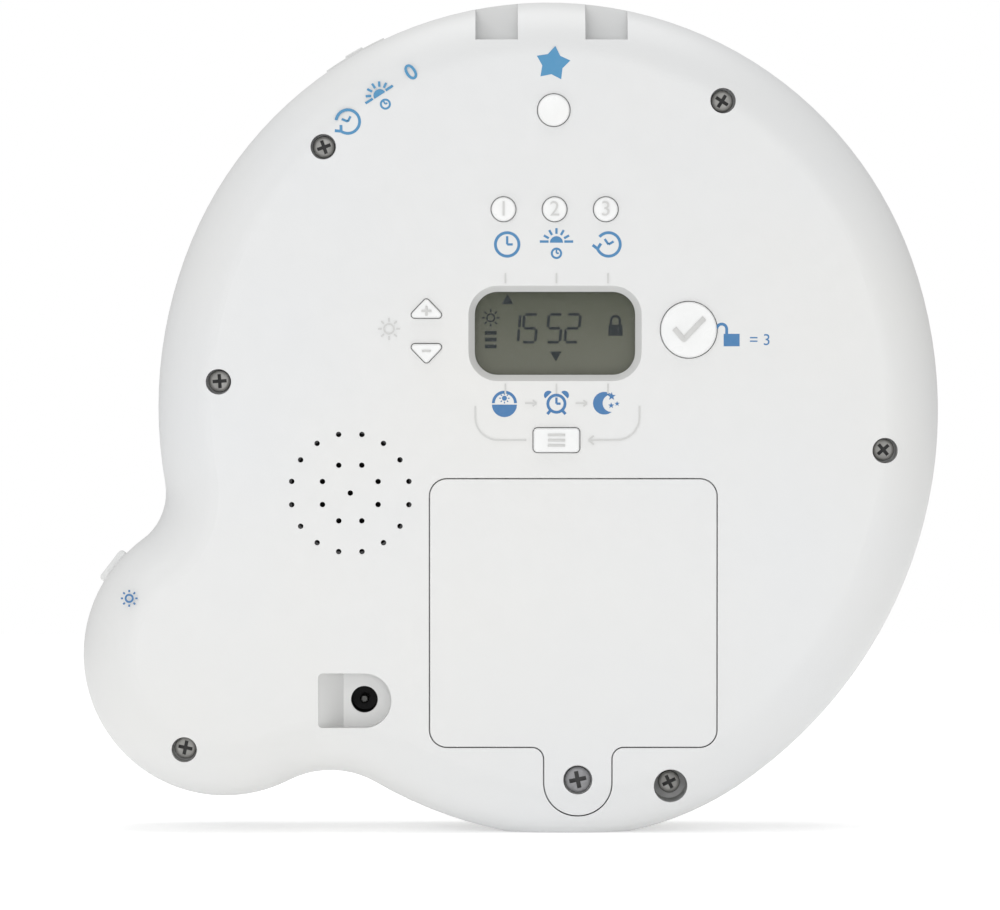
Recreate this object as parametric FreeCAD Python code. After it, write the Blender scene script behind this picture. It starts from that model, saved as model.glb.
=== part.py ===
import FreeCAD, Part
import math
import os

# Child's bedside alarm clock with a night light, seen from behind.
# The back faces -Y and the night light faces +Y. The clock stands on Z = 0.
# All sizes are in millimetres.

V = FreeCAD.Vector

# Case, in the plane of the back: circles given as centre x, centre z and radius.
# Each side arc is wider by its ease than the tightest one that runs into both the top and the base.
TOP_ARC = (8.3, 97.6, 85.2)
BASE_ARC_X = 12.5
BASE_ARC_R = 68.0
FOOT_HALF_WIDTH = 14.0
RIGHT_ARC_EASE = 7.43
LEFT_ARC_EASE = 3.33
LOBE_ARC = (-63.1, 39.0, 31.2)
UPPER_NECK_R = 13.0
LOWER_NECK_R = 20.0

# Case, from back to front
BACK_Y = -21.4
FRONT_Y = 22.2
PARTING_Y = 4.0
EDGE_R = 12.0
WALL = 2.2

# Clearances, how far a cutter runs past the face that it opens, and a length beyond the whole case
SLIDE_GAP = 0.2
DOOR_GAP = 0.3
SEAT_GAP = 0.1
THREAD_GAP = 0.05
OVERCUT = 1.0
FAR = 240.0

# Case screws and their wells, given as x and z, with the wide well last
WELL_PLACES = [(-41.1, 150.9), (46.5, 161.0), (-64.1, 99.4), (82.1, 84.3), (-71.7, 18.6)]
WIDE_WELL_PLACE = (35.1, 10.6)
WELL_R = 2.8
WIDE_WELL_R = 3.7
WELL_WALL = 1.9
WELL_FLOOR_Y = -11.0
WELL_FLOOR = 2.0
WIDE_WELL_EXTRA = 7.0
BOSS_R = 4.2
SCREW_HEAD_R = 2.4
SCREW_HEAD_H = 1.8
SCREW_R = 1.45
SCREW_LENGTH = 14.0
SCREW_EDGE_R = 0.6

# Rim notches
NOTCH_PLACES = [-3.1, 21.0]
NOTCH_WIDTH = 9.3
NOTCH_BASE_Z = 174.4
NOTCH_FLOOR_Y = -9.0
LINER = 1.6

# Display
LCD_X = 9.7
LCD_Z = 110.0
LCD_MOUTH_W = 38.0
LCD_MOUTH_H = 20.9
LCD_GLASS_W = 35.2
LCD_GLASS_H = 18.2
LCD_CORNER_R = 6.4
LCD_PAD_MARGIN = 3.0
LCD_PAD_T = 0.4
LCD_WINDOW_CORNER_R = 1.5
LCD_CELL_CORNER_R = 0.5
LCD_WINDOW_MARGIN = 2.0
LCD_WINDOW_T = 1.0
LCD_CELL_T = 2.0

# Main board, with the corners of its outline as x and z
BOARD_Y = -9.5
BOARD_T = 1.6
BOARD_CORNERS = [(-28, 150), (-28, 98), (-12, 98), (-12, 81), (50, 81), (50, 150), (21, 150), (21, 167),
                 (-2, 167), (-2, 150)]
BOARD_POSTS = [(-24.5, 146.0), (46.0, 146.0), (-8.5, 84.5), (46.0, 84.5)]
POST_R = 3.0
BOARD_SCREW_R = 0.95
BOARD_SCREW_HEAD_R = 2.2
BOARD_SCREW_HEAD_H = 1.4
BOARD_SCREW_LENGTH = 6.0

# Push buttons on the back
STAR_BUTTON = (9.4, 158.9, 3.5)
NUMBER_BUTTONS = [(-1.6, 137.2, 2.65), (9.6, 137.2, 2.65), (20.8, 137.2, 2.65)]
OK_BUTTON = (39.0, 110.8, 6.15)
MODE_BUTTON_X = 10.0
MODE_BUTTON_Z = 86.6
MODE_BUTTON_W = 10.1
MODE_BUTTON_H = 5.3
MODE_BUTTON_CORNER_R = 0.9
STEP_BUTTON_X = -18.5
PLUS_BUTTON_Z = 115.6
MINUS_BUTTON_Z = 105.5
STEP_BUTTON_W = 8.4
STEP_BUTTON_H = 4.4
STEP_BUTTON_CORNER_R = 0.7
BUTTON_PROUD = 0.8
BUTTON_TRAVEL = 0.8
BUTTON_RIM = 1.0
BUTTON_RIM_T = 1.0
BUTTON_EDGE_R = 0.35
BUTTON_STEM_R = 1.3
BUTTON_FREE_PLAY = 0.1
TACT_SIDE = 6.0
TACT_BODY_H = 3.5
TACT_PLUNGER_R = 1.7
TACT_PLUNGER_H = 0.6

# Speaker and its grille
SPEAKER_X = -35.2
SPEAKER_Z = 75.0
SPEAKER_R = 15.5
SPEAKER_SEAT_T = 1.4
SPEAKER_FLANGE_T = 1.0
SPEAKER_CONE_DEPTH = 5.0
SPEAKER_MAGNET_R = 9.0
SPEAKER_MAGNET_H = 4.5
SPEAKER_RIM_W = 1.3
SPEAKER_SKIN = 1.0
PAPER_RIM_GAP = 0.2
PAPER_TIP_R = 4.5
PAPER_DEPTH = 4.0
PAPER_T = 0.6
GRILLE_RING_RADII = [0.0, 6.6, 13.1]
GRILLE_PITCH = 5.16
GRILLE_HOLE_R = 0.6
SPEAKER_BOSS_R = 2.6
SPEAKER_CLAMP_W = 1.0

# Battery bay, door and cells
DOOR_X = 13.7
DOOR_W = 62.8
DOOR_TOP_Z = 78.0
DOOR_BASE_Z = 19.3
DOOR_CORNER_R = 3.7
DOOR_T = 2.0
TAB_X = 14.7
TAB_W = 14.7
TAB_END_Z = 4.1
TAB_FILLET_R = 2.7
DOOR_SCREW_Z = 12.0
DOOR_SCREW_CUP_R = 4.3
DOOR_SCREW_CUP_H = 4.6
DOOR_SCREW_WELL_R = 3.2
DOOR_SCREW_HEAD_R = 2.9
DOOR_SCREW_DIP = 1.2
DOOR_SCREW_GRIP = 3.5
DOOR_SCREW_PLAY = 0.4
CUP_POCKET_GAP = 0.8
LEDGE_T = 1.7
LEDGE_MARGIN = 1.6
HOOK_W = 6.0
HOOK_RISE = 2.4
HOOK_FOOT = 3.0
HOOK_T = 1.2
HOOK_SPREAD = 18.0
HOOK_GAP = 0.4
HOOK_SLOT_DROP = 5.0
HOOK_SLOT_RISE = 1.2
BAY_Z = 48.6
BAY_SIDE_GAP = 1.1
BAY_DOOR_GAP = 1.4
CELL_R = 7.1
CELL_LENGTH = 50.0
CELL_GAP = 1.1
CELL_NUB_R = 2.6
CELL_NUB_H = 1.0
CONTACT_T = 0.4
CONTACT_SIDE = 11.0
SPRING_WIRE_R = 0.35
SPRING_BASE_R = 4.6
SPRING_TIP_R = 2.8
SPRING_TURNS = 4
SPRING_ROOM = 5.2
SPRING_END_GAP = 0.05

# Power inlet
JACK_X = -32.2
JACK_Z = 29.4
JACK_DIP = 6.0
JACK_DISH_LEFT = -42.3
JACK_DISH_R = 6.0
JACK_DISH_CORNER_R = 1.0
JACK_RAMP_LIP = 0.6
JACK_RAMP_RUN = 5.5
JACK_BORE_R = 2.85
JACK_PIN_R = 1.0
JACK_SIDE = 9.0
JACK_LENGTH = 12.0
JACK_BACK_T = 2.0
JACK_PIN_SETBACK = 0.5
JACK_PIN_EDGE_R = 0.5

# Rim slide switch, near the top left as seen from behind
RIM_SWITCH_ANGLE = 30.0
RIM_SWITCH_Y = -1.5
RIM_KNOB_L = 4.4
RIM_KNOB_W = 3.6
RIM_KNOB_PROUD = 0.9
RIM_SWITCH_TRAVEL = 2.5
RIM_CARRIER_DROP = 1.2
RIM_CARRIER_T = 0.9
RIM_CARRIER_MARGIN = 1.2
RIM_KNOB_EDGE_R = 0.4
RIM_LEG_HALF = 1.5
RIM_LEG_HALF_W = 1.2
RIM_SWITCH_HALF = 6.0
RIM_SWITCH_HALF_W = 2.6
RIM_SWITCH_H = 2.4
RIM_LEG_GAP = 0.1
RIM_BOARD_DEPTH = 8.8
RIM_BOARD_MARGIN = 1.4
RIM_RIDGE_T = 0.45
RIM_RIDGE_L = 13.0
RIM_RIDGE_MARGIN = 0.8
RIB_T = 1.2
SMALL_BOARD_T = 1.0

# Light button on the lobe's rim
LIGHT_BUTTON_ANGLE = 52.5
LIGHT_BUTTON_Y = 0.5
LIGHT_BUTTON_L = 7.8
LIGHT_BUTTON_W = 5.2
LIGHT_BUTTON_PROUD = 1.3
LIGHT_BUTTON_TRAVEL = 1.0
LIGHT_RIM_DROP = 0.8
LIGHT_RIM_T = 1.0
LIGHT_RIM_MARGIN = 1.2
LIGHT_RIM_SIDE = 0.8
LIGHT_RIB_GAP = 0.6
LIGHT_EDGE_R = 0.9
LIGHT_STEM_HALF = 1.2
LIGHT_STEM_H = 0.5

# Night light
FACE_X = 8.3
FACE_Z = 92.0
FACE_R = 66.0
FACE_LEDGE = 3.0
LENS_T = 2.0
LENS_GAP = 0.2
LENS_EDGE_R = 0.8
LENS_BRIDGE = 5.92
LENS_SEAT_T = 1.6
LENS_SEAT_MARGIN = 2.0
LOBE_LEDGE = 2.0
LOBE_POST_R = 2.2
LOBE_POST_MARGIN = 4.0
LOBE_BOARD_MARGIN = 6.0
LED_BOARD_R = 34.0
LED_RING_R = 24.0
LED_COUNT = 8
LED_SIDE = 5.0
LED_H = 1.6
TRAY_WALL = 1.2
TRAY_MARGIN = 1.0
TRAY_BACK_Y = 7.0
LOBE_BOARD_H = 10.0
LOBE_BOARD_Y = 8.0

# Worked out from the sizes above
BASE_ARC = (BASE_ARC_X, math.sqrt(BASE_ARC_R ** 2 - FOOT_HALF_WIDTH ** 2), BASE_ARC_R)
TIGHTEST_SIDE_R = (math.dist(TOP_ARC[:2], BASE_ARC[:2]) + TOP_ARC[2] + BASE_ARC_R) / 2
LOBE_LENS_R = math.dist((FACE_X, FACE_Z), LOBE_ARC[:2]) - FACE_R - LENS_BRIDGE
LENS_SEAT_Y = FRONT_Y - WALL - LENS_SEAT_T
LCD_WINDOW_Y = BACK_Y + WALL + LCD_PAD_T
SPEAKER_SEAT_Y = BACK_Y + WALL + SPEAKER_SEAT_T
SPEAKER_SCREW_SPREAD = SPEAKER_R + SPEAKER_BOSS_R + SEAT_GAP
BAY_W = CELL_LENGTH + CELL_NUB_H + SPRING_ROOM + 2 * CONTACT_T
CELL_PITCH = 2 * CELL_R + CELL_GAP
BAY_H = 2 * (CELL_PITCH + CELL_R + BAY_SIDE_GAP)
BAY_DEPTH = 2 * CELL_R + BAY_DOOR_GAP
CELL_Y = BACK_Y + DOOR_T + BAY_DEPTH - CELL_R - SEAT_GAP
DOOR_CUP_END_Y = BACK_Y + DOOR_T + DOOR_SCREW_CUP_H
DOOR_SCREW_Y = BACK_Y + DOOR_SCREW_DIP
JACK_Y = BACK_Y + JACK_DIP + LINER
RIM_SLOT_HALF = RIM_KNOB_L / 2 + RIM_SWITCH_TRAVEL + DOOR_GAP
RIM_CARRIER_HALF = RIM_SLOT_HALF + RIM_SWITCH_TRAVEL + HOOK_GAP
RIM_RIB_HALF = RIM_CARRIER_HALF + RIM_SWITCH_TRAVEL + DOOR_GAP
RIM_CARRIER_TOP = -WALL - RIM_CARRIER_DROP
RIM_BOARD_TOP = -RIM_BOARD_DEPTH
LIGHT_RIM_TOP = -WALL - LIGHT_RIM_DROP
LIGHT_RIM_LOW = LIGHT_RIM_TOP - LIGHT_RIM_T
LIGHT_RIM_HALF = LIGHT_BUTTON_L / 2 + LIGHT_RIM_MARGIN
LIGHT_RIB_HALF = LIGHT_RIM_HALF + LIGHT_RIB_GAP
LIGHT_SWITCH_TOP = LIGHT_RIM_LOW - LIGHT_STEM_H - LIGHT_BUTTON_TRAVEL - BUTTON_FREE_PLAY - TACT_PLUNGER_H
LIGHT_BOARD_TOP = LIGHT_SWITCH_TOP - TACT_BODY_H


def block(x0, x1, y0, y1, z0, z1):
    return Part.makeBox(x1 - x0, y1 - y0, z1 - z0, V(x0, y0, z0))


def peg(x, z, radius, y0, y1):
    """Round bar along Y."""
    return Part.makeCylinder(radius, y1 - y0, V(x, y0, z), V(0, 1, 0))


def cone(x, z, radius0, radius1, y0, y1):
    return Part.makeCone(radius0, radius1, y1 - y0, V(x, y0, z), V(0, 1, 0))


def rounded_wire(corners, y):
    """Closed wire in the plane Y = y through corners given as x, z and corner radius."""
    count = len(corners)
    spots = [V(x, y, z) for x, z, _ in corners]
    starts, mids, ends = [], [], []
    for i, (_, _, radius) in enumerate(corners):
        before = (spots[i - 1] - spots[i]).normalize()
        after = (spots[(i + 1) % count] - spots[i]).normalize()
        half = before.getAngle(after) / 2
        reach = radius / math.tan(half)
        bisector = (before + after).normalize()
        starts.append(spots[i] + before * reach)
        mids.append(spots[i] + bisector * (radius / math.sin(half) - radius))
        ends.append(spots[i] + after * reach)
    edges = []
    for i in range(count):
        if corners[i][2] > 0:
            edges.append(Part.Arc(starts[i], mids[i], ends[i]).toShape())
        following = starts[(i + 1) % count]
        if (following - ends[i]).Length > 1e-6:
            edges.append(Part.LineSegment(ends[i], following).toShape())
    return Part.Wire(edges)


def plate(corners, y0, y1):
    """Flat plate of a rounded outline between two depths."""
    return Part.Face(rounded_wire(corners, y0)).extrude(V(0, y1 - y0, 0))


def rectangle(x, z, width, height, radius):
    w, h = width / 2, height / 2
    return [(x - w, z - h, radius), (x - w, z + h, radius), (x + w, z + h, radius), (x + w, z - h, radius)]


def triangle(x, z, width, height, radius, up):
    """Corners of a flat triangle whose point is up or down."""
    h = height / 2 * up
    return [(x - width / 2, z - h, radius), (x, z + h, radius), (x + width / 2, z - h, radius)]


def meeting(first, d1, second, d2, side):
    """Point at distance d1 from the first centre and d2 from the second, on the side asked for."""
    dx, dz = second[0] - first[0], second[1] - first[1]
    gap = math.hypot(dx, dz)
    along = (d1 ** 2 - d2 ** 2 + gap ** 2) / (2 * gap)
    off = side * math.sqrt(d1 ** 2 - along ** 2)
    return (first[0] + (dx * along - dz * off) / gap, first[1] + (dz * along + dx * off) / gap)


def case_arcs():
    """Arcs of the case outline, clockwise from the top, each with 1 for a bulge or -1 for a neck."""
    def around(ease, side):
        radius = TIGHTEST_SIDE_R + ease
        return meeting(TOP_ARC, radius - TOP_ARC[2], BASE_ARC, radius - BASE_ARC_R, side) + (radius,)

    right = around(RIGHT_ARC_EASE, -1)
    left = around(LEFT_ARC_EASE, 1)

    def neck(radius, side):
        return meeting(left, left[2] + radius, LOBE_ARC, LOBE_ARC[2] + radius, side) + (radius,)

    upper = neck(UPPER_NECK_R, -1)
    lower = neck(LOWER_NECK_R, 1)
    return [(TOP_ARC, 1), (right, 1), (BASE_ARC, 1), (left, 1), (lower, -1), (LOBE_ARC, 1), (upper, -1), (left, 1)]


def joint_angle(arc, other):
    """Direction from an arc's centre to the point where it runs into the other arc."""
    (own, own_turn), (next_one, next_turn) = arc, other
    flip = -1 if own_turn == next_turn == 1 and own[2] < next_one[2] else 1
    return math.atan2(flip * (next_one[1] - own[1]), flip * (next_one[0] - own[0]))


def case_outline(inset):
    arcs = case_arcs()
    edges = []
    for i, arc in enumerate(arcs):
        (x, z, radius), turn = arc
        start = joint_angle(arc, arcs[i - 1])
        finish = joint_angle(arc, arcs[(i + 1) % len(arcs)])
        sweep = -turn * (turn * (start - finish) % (2 * math.pi))
        reach = radius - inset * turn
        steps = [start, start + sweep / 2, start + sweep]
        points = [V(x + reach * math.cos(a), BACK_Y + inset, z + reach * math.sin(a)) for a in steps]
        edges.append(Part.Arc(*points).toShape())
    return Part.Wire(edges)


FORMS = {}


def form(inset):
    """Whole case as one rounded block, with every face moved inwards by inset."""
    if inset not in FORMS:
        depth = FRONT_Y - BACK_Y - 2 * inset
        whole = Part.Face(case_outline(inset)).extrude(V(0, depth, 0))
        rims = [edge for edge in whole.Edges if not isinstance(edge.Curve, Part.Line)]
        whole = whole.makeFillet(EDGE_R - inset, rims)
        FORMS[inset] = whole.common(block(-FAR, FAR, -FAR, FAR, inset, FAR))
    return FORMS[inset]


def back_half(shape):
    return shape.common(block(-FAR, FAR, -FAR, PARTING_Y, -FAR, FAR))


def front_half(shape):
    return shape.common(block(-FAR, FAR, PARTING_Y, FAR, -FAR, FAR))


def turned(shape, arc, angle):
    """Turn a shape that was made at the top of an arc to its place, angle degrees to the left."""
    moved = shape.copy()
    moved.rotate(V(arc[0], 0, arc[1]), V(0, 1, 0), -angle)
    return moved


def wells():
    """Place, radius and floor depth of each case screw's well."""
    usual = [(x, z, WELL_R, WELL_FLOOR_Y) for x, z in WELL_PLACES]
    return usual + [WIDE_WELL_PLACE + (WIDE_WELL_R, WELL_FLOOR_Y + WIDE_WELL_EXTRA)]


def button_places():
    """Name, centre and outline-making function of each button on the back."""
    def disc(x, z, radius):
        return lambda grow, y0, y1: peg(x, z, radius + grow, y0, y1)

    def pad(x, z):
        return lambda grow, y0, y1: plate(rectangle(
            x, z, MODE_BUTTON_W + 2 * grow, MODE_BUTTON_H + 2 * grow, MODE_BUTTON_CORNER_R + grow), y0, y1)

    def wedge(x, z, up):
        slope = math.atan2(STEP_BUTTON_H, STEP_BUTTON_W / 2)
        wide = 2 / math.tan(slope / 2)
        tall = 1 + 1 / math.cos(slope)

        def make(grow, y0, y1):
            middle = z + up * grow * (tall / 2 - 1)
            return plate(triangle(x, middle, STEP_BUTTON_W + wide * grow, STEP_BUTTON_H + tall * grow,
                                  STEP_BUTTON_CORNER_R + grow, up), y0, y1)
        return make

    places = [("star_button", STAR_BUTTON[0], STAR_BUTTON[1], disc(*STAR_BUTTON))]
    for number, spot in enumerate(NUMBER_BUTTONS, 1):
        places.append((f"button_{number}", spot[0], spot[1], disc(*spot)))
    places.append(("ok_button", OK_BUTTON[0], OK_BUTTON[1], disc(*OK_BUTTON)))
    places.append(("mode_button", MODE_BUTTON_X, MODE_BUTTON_Z, pad(MODE_BUTTON_X, MODE_BUTTON_Z)))
    places.append(("plus_button", STEP_BUTTON_X, PLUS_BUTTON_Z, wedge(STEP_BUTTON_X, PLUS_BUTTON_Z, 1)))
    places.append(("minus_button", STEP_BUTTON_X, MINUS_BUTTON_Z, wedge(STEP_BUTTON_X, MINUS_BUTTON_Z, -1)))
    return places


def door_corners(grow):
    """Corners of the battery door with its screw tab, larger by grow all round."""
    half = DOOR_W / 2 + grow
    top, base = DOOR_TOP_Z + grow, DOOR_BASE_Z - grow
    tab = TAB_W / 2 + grow
    end = TAB_END_Z - grow
    corner, inner, tip = DOOR_CORNER_R + grow, TAB_FILLET_R - grow, tab - THREAD_GAP
    return [(DOOR_X - half, base, corner), (DOOR_X - half, top, corner), (DOOR_X + half, top, corner),
            (DOOR_X + half, base, corner), (TAB_X + tab, base, inner), (TAB_X + tab, end, tip),
            (TAB_X - tab, end, tip), (TAB_X - tab, base, inner)]


def jack_dish(grow):
    """Dish round the power inlet: half round at the right, with a floor that climbs to the left."""
    floor = BACK_Y + JACK_DIP + grow
    left = JACK_DISH_LEFT - grow
    radius = JACK_DISH_R + grow
    right = JACK_X + radius
    corner, bend = JACK_DISH_CORNER_R + grow, radius - THREAD_GAP
    outline = [(left, JACK_Z - radius, corner), (left, JACK_Z + radius, corner),
               (right, JACK_Z + radius, bend), (right, JACK_Z - radius, bend)]
    across = plate(outline, -FAR, floor)
    side = [V(left, -FAR, JACK_Z - radius), V(left, BACK_Y + grow + JACK_RAMP_LIP, JACK_Z - radius),
            V(left + JACK_RAMP_RUN, floor, JACK_Z - radius), V(right, floor, JACK_Z - radius),
            V(right, -FAR, JACK_Z - radius)]
    profile = Part.Face(Part.makePolygon(side + side[:1]))
    return across.common(profile.extrude(V(0, 0, 2 * radius)))


def bay_block(grow):
    return block(DOOR_X - BAY_W / 2 - grow, DOOR_X + BAY_W / 2 + grow, -FAR, BACK_Y + DOOR_T + BAY_DEPTH + grow,
                 BAY_Z - BAY_H / 2 - grow, BAY_Z + BAY_H / 2 + grow)


def door_cup(grow):
    """Space of the cup that holds the door's screw."""
    return peg(TAB_X, DOOR_SCREW_Z, DOOR_SCREW_CUP_R + grow, BACK_Y + DOOR_T, DOOR_CUP_END_Y)


def notch(x, grow):
    return block(x - NOTCH_WIDTH / 2 - grow, x + NOTCH_WIDTH / 2 + grow, -FAR, NOTCH_FLOOR_Y + grow,
                 NOTCH_BASE_Z - grow, FAR)


def rim_box(arc, half_length, y, half_width, low, high):
    """Block at the top of an arc: half sizes along the rim and in depth, and heights from the rim."""
    return block(arc[0] - half_length, arc[0] + half_length, y - half_width, y + half_width,
                 arc[1] + arc[2] + low, arc[1] + arc[2] + high)


def rim_top(shape, arc, height):
    """Edges of a shape that lie at this height over the top of an arc."""
    return [edge for edge in shape.Edges if edge.BoundBox.ZMin > arc[1] + arc[2] + height - 0.01]


def rim_ribs(arc, angle, y, half_width, rib_half, low):
    """Pair of ribs inside the rim that carry a small board."""
    ribs = []
    for side in (-1, 1):
        near, far = sorted((side * rib_half, side * (rib_half + RIB_T)))
        rib = block(arc[0] + near, arc[0] + far, y - half_width, y + half_width,
                    arc[1] + arc[2] + low, arc[1] + arc[2])
        ribs.append(turned(rib, arc, angle))
    return ribs


def back_shell():
    """Moulded back of the case, with its wells, bay, dish, posts and openings."""
    outside = form(0)
    shell = outside.cut(form(WALL))
    added = [peg(x, z, radius + WELL_WALL, -FAR, floor + WELL_FLOOR) for x, z, radius, floor in wells()]
    added += [peg(x, z, POST_R, BACK_Y + OVERCUT, BOARD_Y) for x, z in BOARD_POSTS]
    added += [notch(x, LINER) for x in NOTCH_PLACES]
    pad = 2 * LCD_PAD_MARGIN
    added.append(plate(rectangle(LCD_X, LCD_Z, LCD_MOUTH_W + pad, LCD_MOUTH_H + pad, LCD_CORNER_R + LCD_PAD_MARGIN),
                       BACK_Y, LCD_WINDOW_Y))
    added.append(bay_block(LINER))
    added.append(plate(door_corners(LEDGE_MARGIN), BACK_Y, BACK_Y + DOOR_T + DOOR_GAP + LEDGE_T))
    added.append(peg(TAB_X, DOOR_SCREW_Z, DOOR_SCREW_CUP_R + CUP_POCKET_GAP + LINER, BACK_Y + OVERCUT,
                     DOOR_CUP_END_Y + DOOR_SCREW_GRIP + LINER))
    added.append(jack_dish(LINER))
    added.append(peg(SPEAKER_X, SPEAKER_Z, SPEAKER_R, BACK_Y + OVERCUT, SPEAKER_SEAT_Y))
    for side in (-1, 1):
        added.append(peg(SPEAKER_X, SPEAKER_Z + side * SPEAKER_SCREW_SPREAD, SPEAKER_BOSS_R,
                         BACK_Y + OVERCUT, SPEAKER_SEAT_Y + SPEAKER_FLANGE_T))
    half = RIM_KNOB_W / 2 + RIM_BOARD_MARGIN
    added += rim_ribs(TOP_ARC, RIM_SWITCH_ANGLE, RIM_SWITCH_Y, half, RIM_RIB_HALF, RIM_BOARD_TOP)
    half = PARTING_Y - LIGHT_BUTTON_Y
    added += rim_ribs(LOBE_ARC, LIGHT_BUTTON_ANGLE, LIGHT_BUTTON_Y, half, LIGHT_RIB_HALF, LIGHT_BOARD_TOP)
    shell = shell.multiFuse([piece.common(outside) for piece in added])
    shell = back_half(shell)
    for cutter in back_cutters():
        shell = shell.cut(cutter)
    ridge = rim_box(TOP_ARC, RIM_RIDGE_L / 2 + RIM_RIDGE_MARGIN, RIM_SWITCH_Y, RIM_KNOB_W / 2 + RIM_CARRIER_MARGIN,
                    -WALL, OVERCUT)
    ring = peg(TOP_ARC[0], TOP_ARC[1], TOP_ARC[2] + RIM_RIDGE_T, -FAR, FAR)
    ring = ring.cut(peg(TOP_ARC[0], TOP_ARC[1], TOP_ARC[2] - WALL / 2, -FAR, FAR))
    ridge = turned(ridge.common(ring), TOP_ARC, RIM_SWITCH_ANGLE)
    return shell.fuse(ridge).cut(rim_slot()).removeSplitter()


def rim_slot():
    slot = rim_box(TOP_ARC, RIM_SLOT_HALF, RIM_SWITCH_Y, RIM_KNOB_W / 2 + SLIDE_GAP, -2 * WALL, WALL)
    return turned(slot, TOP_ARC, RIM_SWITCH_ANGLE)


def light_hole():
    hole = rim_box(LOBE_ARC, LIGHT_BUTTON_L / 2 + SLIDE_GAP, LIGHT_BUTTON_Y, LIGHT_BUTTON_W / 2 + SLIDE_GAP,
                   -WALL - OVERCUT, WALL)
    return turned(hole, LOBE_ARC, LIGHT_BUTTON_ANGLE)


def back_cutters():
    """Everything that is cut out of the back shell."""
    cutters = []
    for x, z, radius, floor in wells():
        cutters.append(peg(x, z, radius, -FAR, floor))
        cutters.append(peg(x, z, SCREW_R + SLIDE_GAP, floor - OVERCUT, floor + WELL_FLOOR + OVERCUT))
    for x, z in BOARD_POSTS:
        cutters.append(peg(x, z, BOARD_SCREW_R + THREAD_GAP, BOARD_Y - BOARD_SCREW_LENGTH + BOARD_T,
                           BOARD_Y + OVERCUT))
    cutters += [notch(x, 0) for x in NOTCH_PLACES]
    mouth = rounded_wire(rectangle(LCD_X, LCD_Z, LCD_MOUTH_W, LCD_MOUTH_H, LCD_CORNER_R), BACK_Y)
    throat_r = LCD_CORNER_R - (LCD_MOUTH_W - LCD_GLASS_W) / 2
    throat = rounded_wire(rectangle(LCD_X, LCD_Z, LCD_GLASS_W, LCD_GLASS_H, throat_r), LCD_WINDOW_Y)
    cutters.append(Part.makeLoft([mouth, throat], True, True))
    for _, _, _, make in button_places():
        cutters.append(make(SLIDE_GAP, BACK_Y - OVERCUT, BACK_Y + WALL + OVERCUT))
    cutters += grille_holes()
    cutters.append(peg(SPEAKER_X, SPEAKER_Z, SPEAKER_R - SPEAKER_RIM_W, BACK_Y + WALL, 0))
    for side in (-1, 1):
        cutters.append(peg(SPEAKER_X, SPEAKER_Z + side * SPEAKER_SCREW_SPREAD, BOARD_SCREW_R + THREAD_GAP,
                           BACK_Y + WALL, 0))
    cutters.append(bay_block(0))
    cutters.append(plate(door_corners(DOOR_GAP), -FAR, 0).cut(form(DOOR_T + DOOR_GAP)))
    cutters.append(door_cup(CUP_POCKET_GAP))
    cutters.append(peg(TAB_X, DOOR_SCREW_Z, SCREW_R + DOOR_SCREW_PLAY, BACK_Y,
                       DOOR_CUP_END_Y + DOOR_SCREW_GRIP + HOOK_GAP))
    for side in (-1, 1):
        middle = DOOR_X + side * HOOK_SPREAD
        reach = HOOK_W / 2 + HOOK_GAP
        cutters.append(block(middle - reach, middle + reach, BACK_Y + WALL,
                             BACK_Y + DOOR_T + DOOR_GAP + LEDGE_T + OVERCUT, DOOR_TOP_Z - HOOK_SLOT_DROP,
                             DOOR_TOP_Z + HOOK_RISE + HOOK_SLOT_RISE))
    cutters.append(jack_dish(0))
    cutters.append(peg(JACK_X, JACK_Z, JACK_BORE_R + SEAT_GAP, BACK_Y, JACK_Y + OVERCUT))
    cutters.append(light_hole())
    return cutters


def grille_holes():
    """Holes in rings in front of the loudspeaker, at an even pitch, with one in the middle."""
    holes = []
    for ring_r in GRILLE_RING_RADII:
        count = max(1, round(2 * math.pi * ring_r / GRILLE_PITCH))
        for i in range(count):
            angle = 2 * math.pi * (i + 0.5) / count
            holes.append(peg(SPEAKER_X + ring_r * math.cos(angle), SPEAKER_Z + ring_r * math.sin(angle),
                             GRILLE_HOLE_R, BACK_Y - OVERCUT, BACK_Y + WALL + OVERCUT))
    return holes


def front_shell():
    """Moulded front of the case, with the ledges that hold both lenses and the screw bosses."""
    outside = form(0)
    shell = outside.cut(form(WALL))
    added = []
    for x, z, _, floor in wells():
        added.append(peg(x, z, BOSS_R, floor + WELL_FLOOR, FAR))
    lobe_x, lobe_z, _ = LOBE_ARC
    added.append(peg(FACE_X, FACE_Z, FACE_R + LENS_SEAT_MARGIN, LENS_SEAT_Y, FAR))
    added.append(peg(lobe_x, lobe_z, LOBE_LENS_R + LENS_SEAT_MARGIN, LENS_SEAT_Y, FAR))
    for side in (-1, 1):
        added.append(peg(lobe_x + side * (LOBE_LENS_R + LOBE_POST_MARGIN), lobe_z, LOBE_POST_R, LOBE_BOARD_Y, FAR))
    shell = front_half(shell)
    shell = shell.multiFuse([piece.common(outside) for piece in added])
    cutters = [peg(FACE_X, FACE_Z, FACE_R, FRONT_Y - WALL, FAR), peg(FACE_X, FACE_Z, FACE_R - FACE_LEDGE, 0, FAR),
               peg(lobe_x, lobe_z, LOBE_LENS_R, FRONT_Y - WALL, FAR),
               peg(lobe_x, lobe_z, LOBE_LENS_R - LOBE_LEDGE, 0, FAR)]
    for x, z, _, floor in wells():
        cutters.append(peg(x, z, SCREW_R + THREAD_GAP, floor, floor + SCREW_LENGTH + OVERCUT))
    cutters.append(light_hole())
    for cutter in cutters:
        shell = shell.cut(cutter)
    return shell.removeSplitter()


def back_rim(shape, y):
    """Edges of a shape that lie in its rearmost face, at y."""
    return [edge for edge in shape.Edges if abs(edge.BoundBox.YMax - y) < 0.01]


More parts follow.
